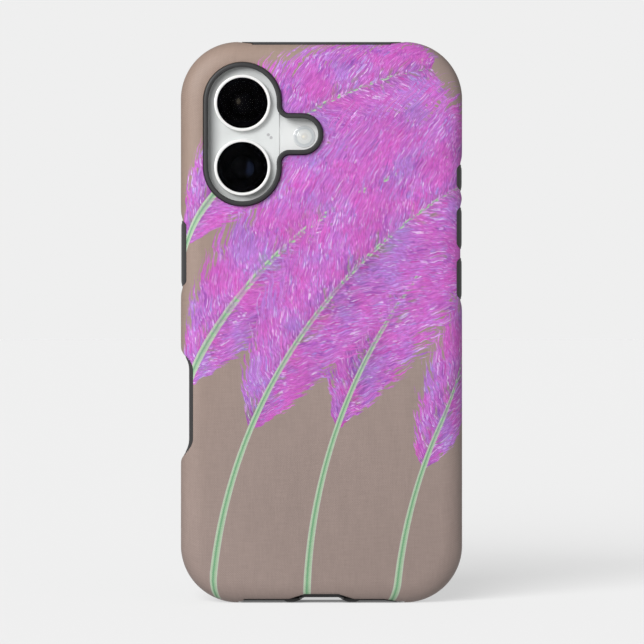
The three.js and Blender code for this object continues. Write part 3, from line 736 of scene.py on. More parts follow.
def plume_group():
    """One painted plume: barbs in short brush dabs that lean off a curved green rib."""
    labels = ("X", "Z", "Centre x", "Centre z", "Radius", "Middle angle", "Length", "Reach", "Bare", "Seed")
    takes = {label: ("value", 0.0) for label in labels}
    tree, taken, give = new_group("painted_plume", takes, {"Colour": "colour", "Mask": "value"})
    across_x = taken["X"] - taken["Centre x"]
    across_z = taken["Z"] - taken["Centre z"]
    radius, length, seed = taken["Radius"], taken["Length"], taken["Seed"]
    distance = distance_of(across_x, across_z)
    angle = across_z.maths("ARCTAN2", across_x) - taken["Middle angle"]
    turn = angle.maths("WRAP", math.pi, -math.pi)
    far_along = turn * radius + length * 0.5
    offset = (radius.size() - distance) * radius.maths("SIGN")
    side, off = offset.maths("SIGN"), offset.size()

    # A barb leaves the rib at its root, and leans towards the tip as it goes out.
    sway = noise(tree, vector(tree, far_along * 0.16 + seed * 9, offset * 0.16), 1.0, 3.0, flat=True) - 0.5
    root = far_along - off * 0.85 - off * off * 0.016 + sway * 4
    barbed = ((root / length - taken["Bare"]) / (1.0 - taken["Bare"])).within()
    taper = (barbed * (1.0 - barbed) * 4.0).maths("MAXIMUM", 0.0001) ** 0.5
    ragged = noise(tree, vector(tree, root * 0.9 + side * 50, seed * 7), 1.0, 3.0, 0.8, flat=True)
    tip = taken["Reach"] * taper * (ragged * 1.3 + 0.35)
    reached = off / (tip + 0.01)

    def layer_of(width, span, shift):
        lane = root / width + side * 40 + seed * 13 + shift
        return dabs(tree, lane, off / span + sway * 2 + shift)

    # Broad washes first, then three layers of soft-edged dabs, dark specks and the bristles' streaks.
    wash = noise(tree, vector(tree, root * 0.8 + seed * 3, off * 0.2 + side * 7), 1.0, 4.0, 0.65, flat=True)
    under, under_shade, under_pick = layer_of(1.3, 3.4, 3.1)
    main, main_shade, main_pick = layer_of(0.72, 1.9, 7.7)
    top, top_shade, top_pick = layer_of(0.42, 1.3, 11.3)
    bristle = noise(tree, vector(tree, root * 3.2 + seed, off * 0.9), 1.0, 3.0, 0.75, flat=True)
    drift = noise(tree, vector(tree, far_along * 0.05, offset * 0.08 + seed), 1.0, 2.0, flat=True) - 0.5
    colour = ramp(tree, wash + drift * 0.3, WASH)
    under_on = (0.55 - under).rising(-0.05, 0.3) * (under_pick - 0.55).rising(0.0, 0.1)
    colour = mixed(tree, under_on * 0.6, colour, ramp(tree, under_shade, MAIN_DABS))
    sepals = (3.4 - off).rising(-1.0, 1.0) * (under_pick - 0.80).rising(0.0, 0.05)
    colour = mixed(tree, sepals * 0.8, colour, mixed(tree, under_shade, SEPAL, OLIVE))
    colour = mixed(tree, 0.40 - off.rising(0.0, 4.5) * 0.40, colour, SHADE)
    main_on = (0.50 - main).rising(-0.08, 0.18) * (main_pick - 0.3).rising(0.0, 0.1)
    colour = mixed(tree, main_on * 0.9, colour, ramp(tree, main_shade + drift * 0.4, MAIN_DABS))
    top_on = (0.44 - top).rising(-0.06, 0.14) * (top_pick - 0.56).rising(0.0, 0.06)
    colour = mixed(tree, top_on * 0.8, colour, ramp(tree, top_shade, TOP_DABS))
    speck = noise(tree, vector(tree, far_along * 1.3 + seed * 5, offset * 1.3), 1.0, 3.0, 0.7, flat=True)
    colour = mixed(tree, (speck - 0.58).rising(0.0, 0.16) * 0.55, colour, ramp(tree, main_shade, DEEP_DABS))
    patch = noise(tree, vector(tree, far_along * 0.09 + seed, offset * 0.09), 1.0, 3.0, flat=True)
    colour = mixed(tree, (patch - 0.50).rising(0.0, 0.16) * 0.5, colour, HOT_PINK)
    colour = mixed(tree, (0.47 - patch).rising(0.0, 0.16) * 0.4, colour, BLUE_LILAC)
    colour = toned(tree, colour, (bristle * 1.5 + 0.30) * (1.0 + drift * 0.4))

    # Towards their ends the barbs part, and only some of the dabs are left.
    ends = (tip - off).rising(-0.2, 0.2) * (taper - 0.05).rising(0.0, 0.1)
    parting = (reached - 0.5).within() * 1.3
    shown = ends * (main_pick - parting).rising(-0.1, 0.1).maths(
        "MAXIMUM", (under_pick - parting * 1.5).rising(-0.08, 0.08))

    # The rib thins out towards the tip. One side of it is light, with a dark line down its middle.
    way = far_along / length
    half = 1.1 - way.within() * 0.85
    rib = (half - off).rising(-0.1, 0.1) * far_along.rising(-0.3, 0.3) * (0.97 - way).rising(-0.02, 0.02)
    stripe = offset / half + bristle * 0.5 - 0.25
    green = ramp(tree, stripe * 0.5 + 0.5, (
        (0.10, RIB_LIGHT), (0.42, (0.30, 0.52, 0.31)), (0.50, RIB_DARK), (0.62, (0.20, 0.43, 0.24)),
        (0.80, RIB_LIGHT)))
    covered = way.rising(taken["Bare"], taken["Bare"] + 0.4) * (main_pick - 0.25).rising(0.0, 0.1)
    rib = rib * (1.0 - covered * 0.9)
    give(colour=mixed(tree, rib, colour, green), mask=shown.maths("MAXIMUM", rib))
    return tree


# Each plume's foot, heading in degrees, signed radius of its bend, length, reach and bare share.
PLUMES = (
    Sizes(foot=(-39, 96), heading=62, bend=-95, length=88, reach=18, bare=0.02),
    Sizes(foot=(20, -4), heading=88, bend=-140, length=98, reach=13, bare=0.42),
    Sizes(foot=(-39, 54), heading=69, bend=-112, length=126, reach=20, bare=0.04),
    Sizes(foot=(-4, -4), heading=91, bend=-150, length=132, reach=16, bare=0.40),
    Sizes(foot=(-30, -4), heading=89, bend=-140, length=158, reach=19, bare=0.33),
)


def print_material():
    material, tree, shader = new_material("print_on_shell", Specular_IOR_Level=0.42)
    x, y, z = own_place(tree)

    # The picture runs on over the rounded edges: it spreads from the middle with the way forward.
    middle = (CAD_BOX[0][2] + CAD_BOX[1][2]) / 2 / MM
    forward = (y - (FRONT_Y - BACK - SHELL)).maths("MAXIMUM", 0.0)
    spread = forward / (HALF_WIDTH + SHELL) + 1.0
    across, up = x * spread, (z - middle) * spread + middle

    large = noise(tree, vector(tree, across, up), 0.016, 4.0, 0.6)
    brushed = noise(tree, vector(tree, across * 0.35, up * 0.06), 1.0, 3.0, 0.6)
    warmth = (up * 0.008 - across * 0.016).rising(0.5, 1.7)
    ground = toned(tree, mixed(tree, warmth, GROUND, WARM_GROUND), large.rising(0.3, 0.72) * 0.1 + 0.93)
    colour = toned(tree, ground, brushed.rising(0.35, 0.7) * -0.04 + 1.0)
    plume = plume_group()
    for number, one in enumerate(PLUMES):
        turn = math.radians(one.heading)
        centre_x = one.foot[0] - one.bend * math.sin(turn)
        centre_z = one.foot[1] + one.bend * math.cos(turn)
        start = math.atan2(one.foot[1] - centre_z, one.foot[0] - centre_x)
        painted = use(tree, plume, x=across, z=up, centre_x=centre_x, centre_z=centre_z, radius=one.bend,
                      middle_angle=start + one.length / 2 / one.bend, length=one.length,
                      reach=one.reach, bare=one.bare, seed=3.7 * number)
        colour = mixed(tree, painted.mask, colour, painted.colour)

    # Canvas threads under the paint, each crossing over and under the next, some thicker than others.
    thread = 2 * math.pi / THREAD
    wander = noise(tree, vector(tree, across, up), 0.4, 2.0) * 1.2
    weave = (across * thread + wander).sine() * (up * thread + wander).sine()
    slubs = noise(tree, vector(tree, across * 2.4, up * 0.22), 1.0, 2.0, 0.7, flat=True)
    slubs = slubs + noise(tree, vector(tree, across * 0.22, up * 2.4), 1.0, 2.0, 0.7, flat=True) - 1.0
    lift = weave * 0.5 + slubs
    # Painted shade: the print is made darker towards the rounded sides, as they turn away from the light.
    edge = forward.rising(0.2, 2.8)
    shade = toned(tree, colour, (lift * 0.17 + 1.0) * (1.0 - edge * 0.2))
    dress(tree, shader, shade, large * 0.1 + 0.44, bumped(tree, lift, 0.04 * MM, 0.5))
    return material


# ---- The other finishes ----


def glass_finish(name, colour, roughness, **surface):
    """Polished glass with the faint smears of handling in its gloss."""
    material, tree, shader = new_material(name, **surface)
    where = object_place(tree)
    smear = noise(tree, scaled(tree, where, 1.0, 1.0, 0.6), 90, 5.0, 0.65, 0.6)
    tint = mixed(tree, smear.rising(0.3, 0.7), [c * 0.97 for c in colour], [min(1, c * 1.03) for c in colour])
    dress(tree, shader, tint, smear.rising(0.45, 0.8) * 0.05 + roughness)
    return material


def plateau_glass():
    """White glass: satin and greyer on the raised plateau, with painted shadow towards its rim and painted
    light towards its right, and clear white around it.
    """
    material, tree, shader = new_material("white_back_glass", Specular_IOR_Level=0.4)
    where = object_place(tree)
    x, y, z = own_place(tree)
    raised = (FRONT_Y - PLATEAU.top + 0.7 - y).rising(0.0, 0.3)
    effect = use(tree, GRAIN, position=where, size=0.1, depth=0.05, mottle_size=8.0)
    across, up = x - WINDOW.x, z - BOTTOM_Z - WINDOW.z
    past = (up.size() - WINDOW.half_straight).maths("MAXIMUM", 0.0) * up.maths("SIGN")
    out = (across * across + past * past + 0.01) ** 0.5
    turn_x, turn_z = across / out, past / out
    # Painted shadow: the plateau is darkened towards its rim, most at the left, the top and the lower right,
    # as shade from the raised ring.
    lower_right_shadow = (turn_x * 0.7 - turn_z * 0.7 - 0.72).maths("MAXIMUM", 0.0) * 3.2
    weight = turn_x * -0.40 + turn_z * 0.15 + 0.45 + lower_right_shadow
    rim_shadow = (out - (PLATEAU.half_width - PLATEAU.shaded)).rising(0.0, 3.4)
    rim_shadow = rim_shadow * (1.0 - (out - (PLATEAU.half_width - PLATEAU.rim_end)).rising(0.0, 1.2) * 0.9)
    # Painted light: the plateau is made lighter towards its right.
    lighter = (across - 1.0).rising(0.0, 8.0) * 0.15 + 1.0
    flat = mottled(tree, effect, (0.87, 0.885, 0.88), (0.90, 0.91, 0.905))
    high = mottled(tree, effect, (0.675, 0.695, 0.69), (0.70, 0.715, 0.71))
    high = toned(tree, high, (1.0 - rim_shadow * weight * 0.58) * lighter)
    dress(tree, shader, mixed(tree, raised, flat, high), effect.mottle * 0.06 + 0.28, effect.normal)
    return material


def flash_glass():
    """The flash's ribbed lens: grey at its rim, white inside, with the warm light source off its middle."""
    material, tree, shader = new_material("flash_lens", Coat_Weight=1.0, Coat_Roughness=0.03)
    x, _, z = own_place(tree)
    across, up = x - FLASH.x, z - BOTTOM_Z - FLASH.z
    out = distance_of(across, up)
    source = distance_of(across + 0.25, up)
    smear = noise(tree, vector(tree, across, up), 1.3, 3.0, flat=True)
    colour = ramp(tree, (out + smear * 0.3) / FLASH.radius, (
        (0.0, (0.82, 0.81, 0.76)), (0.30, (0.74, 0.74, 0.71)), (0.42, (0.80, 0.81, 0.80)),
        (0.68, (0.78, 0.80, 0.79)), (0.78, (0.60, 0.635, 0.655)), (0.94, (0.70, 0.73, 0.745)),
        (1.0, (0.78, 0.80, 0.81))))
    colour = mixed(tree, 1.0 - source.rising(0.1, 0.5), colour, (0.97, 0.92, 0.80))
    dress(tree, shader, colour, smear * 0.1 + 0.25)
    return material


def rubber_finish():
    """The liner's moulded rubber, with painted shade that darkens it along the edge that it stands on."""
    material, tree, shader = new_material("liner_rubber", Specular_IOR_Level=0.35, Sheen_Weight=0.08,
                                          Sheen_Roughness=0.5)
    where = object_place(tree)
    _, _, z = own_place(tree)
    effect = use(tree, GRAIN, position=where, size=0.12, depth=0.45, mottle_size=6.0)
    shade = mottled(tree, effect, (0.030, 0.029, 0.030), (0.036, 0.035, 0.036))
    # Painted shade: darker towards the bottom edge, where the floor shades it.
    floor_shade = (z - BOTTOM_Z).rising(-0.7, 0.7)
    dress(tree, shader, toned(tree, shade, floor_shade * 0.85 + 0.15),
          effect.mottle * 0.12 + 0.54, effect.normal)
    return material


RUBBER = rubber_finish()
RIM_RUBBER = plain_finish("camera_rim_rubber", (0.027, 0.027, 0.028), 0.46, 0.12, 0.4, 0.08,
                          Specular_IOR_Level=0.4)
CORE = plain_finish("shell_core", (0.07, 0.062, 0.058), 0.5, 0.2, 0.3, 0.1)
ALUMINIUM = plain_finish("blasted_aluminium", (0.80, 0.80, 0.79), 0.36, 0.08, 0.35, 0.04, Metallic=1.0)
POLISHED = plain_finish("satin_aluminium", (0.96, 0.96, 0.945), 0.30, 0.3, 0.03, 0.02, Metallic=0.3)
WHITE_GLASS = plateau_glass()
BLACK_GLASS = glass_finish("front_glass", (0.008, 0.008, 0.010), 0.03)
SCREEN = plain_finish("dark_screen", (0.012, 0.012, 0.015), 0.3, 0.1, 0.1, 0.2)
LENS_GLASS = glass_finish("lens_glass", (0.99, 0.99, 1.0), 0.0, Transmission_Weight=1.0, IOR=1.06)
STEEL = plain_finish("stamped_steel", (0.56, 0.56, 0.57), 0.34, 0.25, 0.25, 0.08, Metallic=1.0)
PLASTIC = plain_finish("black_plastic", (0.016, 0.016, 0.018), 0.45, 0.15, 0.3, 0.15)
BARREL = plain_finish("lens_barrel_black", (0.0010, 0.0010, 0.0018), 0.8, 0.1, 0.25, 0.2,
                      Specular_IOR_Level=0.02)
BOARD = plain_finish("solder_mask", (0.012, 0.10, 0.05), 0.4, 0.4, 0.5, 0.35, 1.5)
WRAP = plain_finish("battery_film", (0.03, 0.032, 0.036), 0.4, 0.5, 0.3, 0.15)
COPPER = plain_finish("coil_copper", (0.72, 0.32, 0.16), 0.35, 0.3, 0.4, 0.15, Metallic=1.0)
GOLD = plain_finish("contact_gold", (0.86, 0.62, 0.26), 0.3, 0.2, 0.15, 0.08, Metallic=1.0)
DIFFUSER = flash_glass()
PRINT = print_material()

# ---- The case ----


def flared(outline_at, front, surface, flare=0.2):
    """A cutter whose mouth opens in a round at a surface, so that it leaves a rounded edge."""
    rings = [at_depth(outline_at(0), front), at_depth(outline_at(0), surface - flare)]
    for inset, rise in round_over(flare, 5):
        rings.append(at_depth(outline_at(-inset), surface - flare + rise))
    rings.append(at_depth(outline_at(-flare), surface + 1))
    return body(loft(rings))


def slot_outline(key, grow=0.0):
    middle = (SLOT.front + SLOT.back) / 2
    return rounded_rect(key.z, middle, key.pad + 2 * grow, SLOT.back - SLOT.front + 2 * grow,
                        SLOT.corner + grow)


def pad_outline(key, grow=0.0):
    return stadium(key.z, KEY_DEPTH, key.pad - 2 * PAD.cover + 2 * grow, PAD.width + 2 * grow)


def side_tool(outline, side, start):
    """A cutter through one side wall of the case, from a distance out from the phone's middle."""
    return side_prism(outline, side * start, side * FAR)


def printed_shell():
    shell = layer(SHELL, 0, SHELL_CUTS, SHELL_EASE)
    skin = bmesh.new()
    skin.from_mesh(shell.data)
    skin.faces.ensure_lookup_table()
    front = [face for face in skin.faces if face.normal.y > 0.9]
    bmesh.ops.delete(skin, geom=front, context="FACES_ONLY")
    printed = BVHTree.FromBMesh(skin)
    skin.free()
    cavity = layer(SHELL_INSIDE, -1)
    window = flared(lambda inset: window_outline(inset - WINDOW.gap), BACK, BACK + SHELL, 0.16)
    slots = [side_tool(slot_outline(key), key.side, HALF_WIDTH - PHONE.edge + GAP)
             for key in KEYS.values()]
    inner_top = TOP_CUT.half_width - TOP_CUT.taper
    ends = [
        block(BOTTOM_CUT.left, BOTTOM_CUT.right, -FAR, EDGE_CUT.back, -SHELL - 2, EDGE_CUT.bottom),
        block(-inner_top, inner_top, -FAR, EDGE_CUT.back, PHONE.height - EDGE_CUT.bottom, PHONE.height + 9),
    ]
    cut(shell, cavity, window, *slots, *ends)
    finish(shell, "printed_shell", "printed_shell", [PRINT, CORE], "case_shell")
    for face in shell.data.polygons:
        _, _, _, distance = printed.find_nearest(face.center)
        face.material_index = 0 if distance < 0.02 * MM else 1
    return shell


def key_boss(key):
    """The liner's flush boss that fills a key's slot in the shell."""
    return keep(layer(BOSS, 0), side_tool(slot_outline(key, -GAP), key.side, HALF_WIDTH - 1))


def end_boss(limits, cut_in=None):
    """The liner's thick edge along the bottom or the top, inside the limits drawn round it."""
    return keep(layer(SHELL - 0.001, -GAP, cut_in), prism(limits, -GAP, EDGE_CUT.back - GAP))


def bottom_boss():
    cut = BOTTOM_CUT
    left, right, end = cut.left + GAP, cut.right - GAP, cut.left - cut.left_step + WEDGE_END
    tip, seat, under = cut.right_end - WEDGE_END, EDGE_CUT.bottom - GAP, -SHELL - 1
    return end_boss([(end, under), (tip, under), (tip, -SHELL), (right, cut.shell - cut.thin),
                     (right, seat), (left, seat), (left, cut.shell - cut.thin), (end, -SHELL)], EDGE_CUTS)


def top_boss():
    half, tip = TOP_CUT.half_width - TOP_CUT.taper - GAP, TOP_CUT.half_width - WEDGE_END
    seat, top = PHONE.height - EDGE_CUT.bottom + GAP, PHONE.height + SHELL
    edge = top - TOP_CUT.depth + GAP
    return end_boss([(-half, seat), (half, seat), (half, edge), (tip, top), (tip, top + 1),
                     (-tip, top + 1), (-tip, top), (-half, edge)])


def lip():
    """The rounded rim that stands in front of the phone's glass, before its middle is cut out."""
    turns = [math.radians(90 * i / 6) for i in range(7)]
    side = LIP.outer - LIP.round
    front = [(side + LIP.round * math.sin(turn), LIP.front + LIP.round * (1 - math.cos(turn)))
             for turn in turns]
    back = [(side + LIP.round * math.cos(turn), LIP.back - LIP.round * (1 - math.sin(turn)))
            for turn in turns]
    return body(loft([at_depth(body_outline(offset), depth) for offset, depth in front + back]))


def rubber_liner():
    liner = layer(LINER, LIP.back - 0.5, LINER_CUTS)
    join(liner, lip(), bottom_boss(), top_boss(), *[key_boss(key) for key in KEYS.values()])
    port_slope = (PORT.liner_foot - PORT.liner_head) / (PORT.liner_top + SHELL)
    wide = PORT.liner_foot + port_slope
    port = [(-wide, -SHELL - 1), (wide, -SHELL - 1), (PORT.liner_head, PORT.liner_top),
            (-PORT.liner_head, PORT.liner_top)]
    port_window = rounded_rect(0, (PORT.front + PORT.back) / 2, 2 * PORT.half_window,
                               PORT.back - PORT.front, NOTCH_WINDOW.corner)
    sound = [stadium((a + b) / 2, (SOUND_WINDOW.front + SOUND_WINDOW.back) / 2, b - a,
                     SOUND_WINDOW.back - SOUND_WINDOW.front) for a, b in SOUND_WINDOW.spans]
    control = rounded_rect((NOTCH_WINDOW.top + NOTCH_WINDOW.bottom) / 2,
                           (NOTCH_WINDOW.front + NOTCH_WINDOW.back) / 2,
                           NOTCH_WINDOW.top - NOTCH_WINDOW.bottom,
                           NOTCH_WINDOW.back - NOTCH_WINDOW.front, NOTCH_WINDOW.corner)
    cut(
        liner,
        phone_body(POCKET),
        prism(body_outline(LIP.inner), LIP.front - 1, BACK / 2),
        prism(window_outline(RING.foot), BACK / 2, BACK + 9),
        prism([(-FAR, NOTCH.top), (-FAR, NOTCH.bottom), *notch_curve(NOTCH.liner)[1:-1]], -FAR, FAR),
        prism(port, -FAR, FAR),
        upright_prism(port_window, -SHELL - 1, 1),
        *[upright_prism(outline, -SHELL - 1, 1) for outline in sound],
        *[side_tool(pad_outline(key, PAD.clearance), key.side, HALF_WIDTH - 1) for key in KEYS.values()],
        side_tool(control, -1, HALF_WIDTH - 1),
    )
    return finish(liner, "rubber_liner", "black_rubber", RUBBER, "case_liner")


def camera_rim():
    """The raised ring round the camera window, with a rim that reaches in over the plateau."""
    outer_round, inner_round, crown = 0.42, 0.3, 0.06
    profile = [(0, BACK + POCKET), (0, RING.top - outer_round)]
    for inset, rise in round_over(outer_round, 6):
        profile.append((inset, RING.top - crown - outer_round + rise))
    profile.append((RING.rim / 2, RING.top))
    for inset, rise in reversed(round_over(inner_round, 5)):
        profile.append((RING.rim - inset, RING.top - crown - inner_round + rise))
    profile += [(RING.rim, RING.wall_top + 0.15), (RING.rim - 0.15, RING.wall_top),
                (RING.wall, RING.wall_top), (RING.wall, RING.foot_top),
                (RING.foot, RING.foot_top), (RING.foot, BACK + POCKET)]
    rim = swept(window_outline, profile)
    return finish(rim, "camera_rim", "black_rubber", RIM_RUBBER, "case_liner")


def key_pad(name, key):
    """A rubber key: a soft-edged bar with a shallow finger dish along its top."""
    rings = [at_side(pad_outline(key), key.side * (HALF_WIDTH + PAD.inner)),
             at_side(pad_outline(key), key.side * (HALF_WIDTH + PAD.proud - PAD.round))]
    for inset, rise in round_over(PAD.round, 6):
        reach = HALF_WIDTH + PAD.proud - PAD.round + rise
        rings.append(at_side(pad_outline(key, -inset), key.side * reach))
    for inset, sink in ((0.65, 0.01), (0.85, 0.05), (1.05, 0.1), (1.25, 0.12)):
        rings.append(at_side(pad_outline(key, -inset), key.side * (HALF_WIDTH + PAD.proud - sink)))
    pad = body(loft(rings))
    return finish(pad, f"{name}_rubber_key", "black_rubber", RUBBER, f"{name}_pad",
                  rides=f"{name}_key", angle=50)


# ---- The phone ----


def sound_hole_places():
    return [first + i * SOUND_HOLES.pitch for first, count in SOUND_HOLES.rows for i in range(count)]


def aluminium_frame():
    inside, seat = body_outline(-FRAME.wall), body_outline(-FRAME.seat)
    glass_front = BACK - BACK_GLASS
    holes = [circle(x, KEY_DEPTH, SOUND_HOLES.radius, 24) for x in sound_hole_places()]
    screws = [circle(x, KEY_DEPTH, SCREW.head + GAP, 24) for x in (-SCREW.x, SCREW.x)]
    socket = stadium(0, KEY_DEPTH, PLUG.width + 2 * (PLUG.wall + GAP), PLUG.height + 2 * (PLUG.wall + GAP))
    keys = [(key.side, key.z, key.pad - 7.0, 2.2) for key in KEYS.values()]
    keys.append((CAMERA_CONTROL.side, CAMERA_CONTROL.z, CAMERA_CONTROL.length, CAMERA_CONTROL.width))
    shell = cut(
        phone_body(0),
        prism(seat, -1, COVER_GLASS + GAP / 2),
        prism(inside, COVER_GLASS, 1.6),
        prism(inside, 2.1, glass_front),
        prism(seat, glass_front - GAP / 2, BACK + 1),
        *[side_tool(stadium(z, KEY_DEPTH, length + 0.3, width + 0.3), side, HALF_WIDTH - FRAME.wall - 1)
          for side, z, length, width in keys],
        *[upright_prism(outline, -1, FRAME.wall + 1) for outline in (*holes, socket)],
        *[upright_prism(outline, -1, SCREW.head_depth + GAP) for outline in screws],
    )
    return finish(shell, "aluminium_frame", "silver_aluminium", ALUMINIUM, "phone_frame")


def camera_control():
    """The control's flush bar: a fine rim round a middle set just below it, all in one metal finish."""
    def bar(grow):
        return stadium(CAMERA_CONTROL.z, KEY_DEPTH, CAMERA_CONTROL.length + 2 * grow,
                       CAMERA_CONTROL.width + 2 * grow)
    bottom, top = -(HALF_WIDTH - FRAME.wall - 0.3), -HALF_WIDTH
    rings = [at_side(bar(0), bottom), at_side(bar(0), top + 0.12), at_side(bar(-0.035), top + 0.035),
             at_side(bar(-0.12), top), at_side(bar(-0.24), top), at_side(bar(-0.3), top + 0.06),
             at_side(bar(-0.34), top + 0.04), at_side(bar(-0.6), top + 0.01)]
    return finish(body(loft(rings)), "camera_control_bar", "silver_aluminium", ALUMINIUM,
                  "camera_control_cap", rides="camera_control_key", angle=40)


def back_panel():
    """The back glass, with the raised camera plateau moulded in one with it."""
    front = BACK - BACK_GLASS
    sheet = prism(body_outline(-FRAME.seat - GAP), front, BACK)
    rings = [at_depth(pill(PLATEAU.half_width + PLATEAU.foot), BACK - 0.3),
             at_depth(pill(PLATEAU.half_width + PLATEAU.foot), BACK - 0.001)]
    for i in range(1, 9):
        turn = math.radians(90 * i / 8)
        rings.append(at_depth(pill(PLATEAU.half_width + PLATEAU.foot * (1 - math.sin(turn))),
                              BACK + PLATEAU.foot * (1 - math.cos(turn))))
    start = PLATEAU.top - PLATEAU.round
    for inset, rise in [(0, 0)] + round_over(PLATEAU.round, 6):
        rings.append(at_depth(pill(PLATEAU.half_width - inset), start + rise))
    join(sheet, body(loft(rings)))
    holes = [circle(LENS.x, z, LENS.ledge, 72) for z in LENS.heights.values()]
    cut(sheet,
        *[prism(hole, BACK - BACK_GLASS - 1, PLATEAU.top + 1) for hole in holes],
        prism(circle(FLASH.x, FLASH.z, FLASH.radius + GAP / 4), front - 1, BACK + 1),
        *[prism(hole, BACK, PLATEAU.top + 1) for hole in microphone_holes()])
    return finish(sheet, "back_glass_panel", "white_back_glass", WHITE_GLASS, "back_glass")


def lens_parts(name, z):
    base, bore = PLATEAU.top + GAP / 2, LENS.glass + GAP / 2
    edge = 0.2
    bezel = turned([
        (LENS.ledge, base), (LENS.ring, base),
        *corner(LENS.ring - edge, LENS.top - edge, edge, 0, 90),
        *corner(bore + 0.08, LENS.top - 0.08, 0.08, 90, 180, 3),
        (bore, LENS.glass_back - GAP / 2), (LENS.ledge, LENS.glass_back - GAP / 2),
    ], LENS.x, z, closed=True)
    finish(bezel, f"lens_bezel_{name}", "silver_aluminium", POLISHED, f"lens_ring_{name}")
    cover = turned([(0, LENS.glass_back), (LENS.glass, LENS.glass_back),
                    (LENS.glass, LENS.glass_top - 0.06), (LENS.glass - 0.06, LENS.glass_top),
                    (0, LENS.glass_top)], LENS.x, z)
    finish(cover, f"lens_cover_{name}", "lens_glass", LENS_GLASS, f"lens_glass_{name}")
    mask = turned([(LENS.ledge - 0.6, LENS.glass_back - 0.04), (LENS.glass, LENS.glass_back - 0.04),
                   (LENS.glass, LENS.glass_back - 0.01), (LENS.ledge - 0.6, LENS.glass_back - 0.01)],
                  LENS.x, z, closed=True)
    finish(mask, f"lens_mask_{name}", "black_plastic", BARREL, angle=None)
    top = LENS.glass_back - GAP
    sizes = BARREL_SIZES
    profile = [(0, sizes.foot), (sizes.radius, sizes.foot), (sizes.radius, top), (sizes.bore, top)]
    for radius, depth in sizes.steps:
        profile += [(radius, top - depth), (radius - sizes.ledge, top - depth)]
    profile += [(sizes.floor_radius, top - sizes.floor), (0, top - sizes.floor)]
    barrel = turned(profile, LENS.x, z)
    finish(barrel, f"lens_barrel_{name}", "black_plastic", BARREL, f"rear_camera_{name}", angle=20)
    base = top - DOME.under
    dome = [(0, base), (DOME.reach, base)]
    low = math.asin(DOME.reach / DOME.radius)
    for i in range(DOME.steps + 1):
        turn = low * (1 - i / DOME.steps)
        rise = DOME.radius * (math.cos(turn) - math.cos(low))
        dome.append((DOME.radius * math.sin(turn), base + DOME.edge + rise))
    element = turned(dome, LENS.x, z, 64)
    finish(element, f"lens_element_{name}", "lens_glass", ELEMENTS[name], angle=40)


def coated_element(name, height, tint, reflection_spot):
    """A coated inner lens: black, with one faint coloured painted reflection to a side of its middle."""
    material, tree, shader = new_material(name, Specular_IOR_Level=0.02)
    x, _, z = own_place(tree)
    across, up = x - LENS.x, z - BOTTOM_Z - height
    out = distance_of(across, up)
    # The coloured spot is a painted reflection, put into the base colour.
    wide, tall = (across - reflection_spot.x) / reflection_spot.wide, (up - reflection_spot.z) / reflection_spot.tall
    painted_reflection = 1.0 - distance_of(wide, tall).rising(0.3, 1.0)
    drift = noise(tree, vector(tree, x, z), 0.9, 2.0, flat=True)
    shown = painted_reflection * out.rising(reflection_spot.hollow * 0.6, reflection_spot.hollow) * (drift + 0.5)
    dress(tree, shader, mixed(tree, shown.within(), (0.0012, 0.0012, 0.002), tint), drift * 0.05 + 0.1)
    return material


# Each inner lens's painted reflection: its colour, then the spot's place, size and hollow middle.
ELEMENTS = {
    "upper": coated_element("coated_lens_upper", LENS.heights["upper"], (0.034, 0.029, 0.020),
                            Sizes(x=-1.1, z=0.5, wide=0.8, tall=1.1, hollow=0.1)),
    "lower": coated_element("coated_lens_lower", LENS.heights["lower"], (0.009, 0.013, 0.028),
                            Sizes(x=2.0, z=-0.4, wide=1.9, tall=2.8, hollow=1.6)),
}


def flash_window():
    """The flash's lens, with fine ridges round a plain middle."""
    radius, face = FLASH.radius, BACK + FLASH.proud
    top = face + FLASH.crown
    profile = [(0, face - FLASH.sunk), (radius, face - FLASH.sunk), (radius, face),
               (radius - 0.05, face + 0.03), (radius - 0.2, top)]
    for i in range(FLASH.ridges):
        outer = FLASH.ridge_start - i * FLASH.ridge_pitch
        profile += [(outer, top), (outer - 0.06, face + 0.02), (outer - 0.30, top)]
    profile += [(0.9, top), (0.45, top + 0.02), (0, top + 0.03)]
    window = turned(profile, FLASH.x, FLASH.z)
    finish(window, "flash_window", "flash_diffuser", DIFFUSER, "flash_lens", angle=25)


def microphone_holes():
    """The two fine holes in the plateau, over the rear microphone."""
    apart = MICROPHONE.apart
    return [circle(MICROPHONE.x + side * apart, MICROPHONE.z - side * apart, MICROPHONE.radius, 24)
            for side in (-1, 1)]


def microphone():
    """The steel disc just under the plateau's two fine holes."""
    outline = circle(MICROPHONE.x, MICROPHONE.z, MICROPHONE.disc, 32)
    mesh = prism(outline, PLATEAU.top - MICROPHONE.deep, PLATEAU.top - MICROPHONE.sunk)
    return finish(mesh, "microphone_grille", "steel", STEEL, "rear_microphone")


def front_glass():
    """The cover glass with its softly rounded rim."""
    offset = -FRAME.seat - GAP
    rings = [at_depth(body_outline(offset), COVER_GLASS)]
    for inset, rise in [(0, 0)] + round_over(0.3, 6):
        rings.append(at_depth(body_outline(offset - inset), 0.3 - rise))
    glass = body(loft(rings))
    return finish(glass, "front_cover_glass", "black_glass", BLACK_GLASS, "cover_glass")


def plug_socket():
    grown = stadium(0, KEY_DEPTH, PLUG.width + 2 * PLUG.wall, PLUG.height + 2 * PLUG.wall)
    bore = stadium(0, KEY_DEPTH, PLUG.width, PLUG.height)
    socket = upright_prism(grown, GAP, PLUG.depth + PLUG.wall)
    cut(socket, upright_prism(bore, -1, PLUG.depth))
    finish(socket, "plug_socket_shell", "steel", STEEL, "plug_socket")
    tongue = upright_prism(
        rounded_rect(0, KEY_DEPTH, PLUG.tongue_width, PLUG.tongue_height, 0.12, 3), 1, PLUG.depth - GAP)
    finish(tongue, "plug_socket_tongue", "black_plastic", PLASTIC, "plug_tongue")


CONTACTS = Sizes(count=12, pitch=0.5, width=0.26, length=3.4, thickness=0.03, height=3.0)


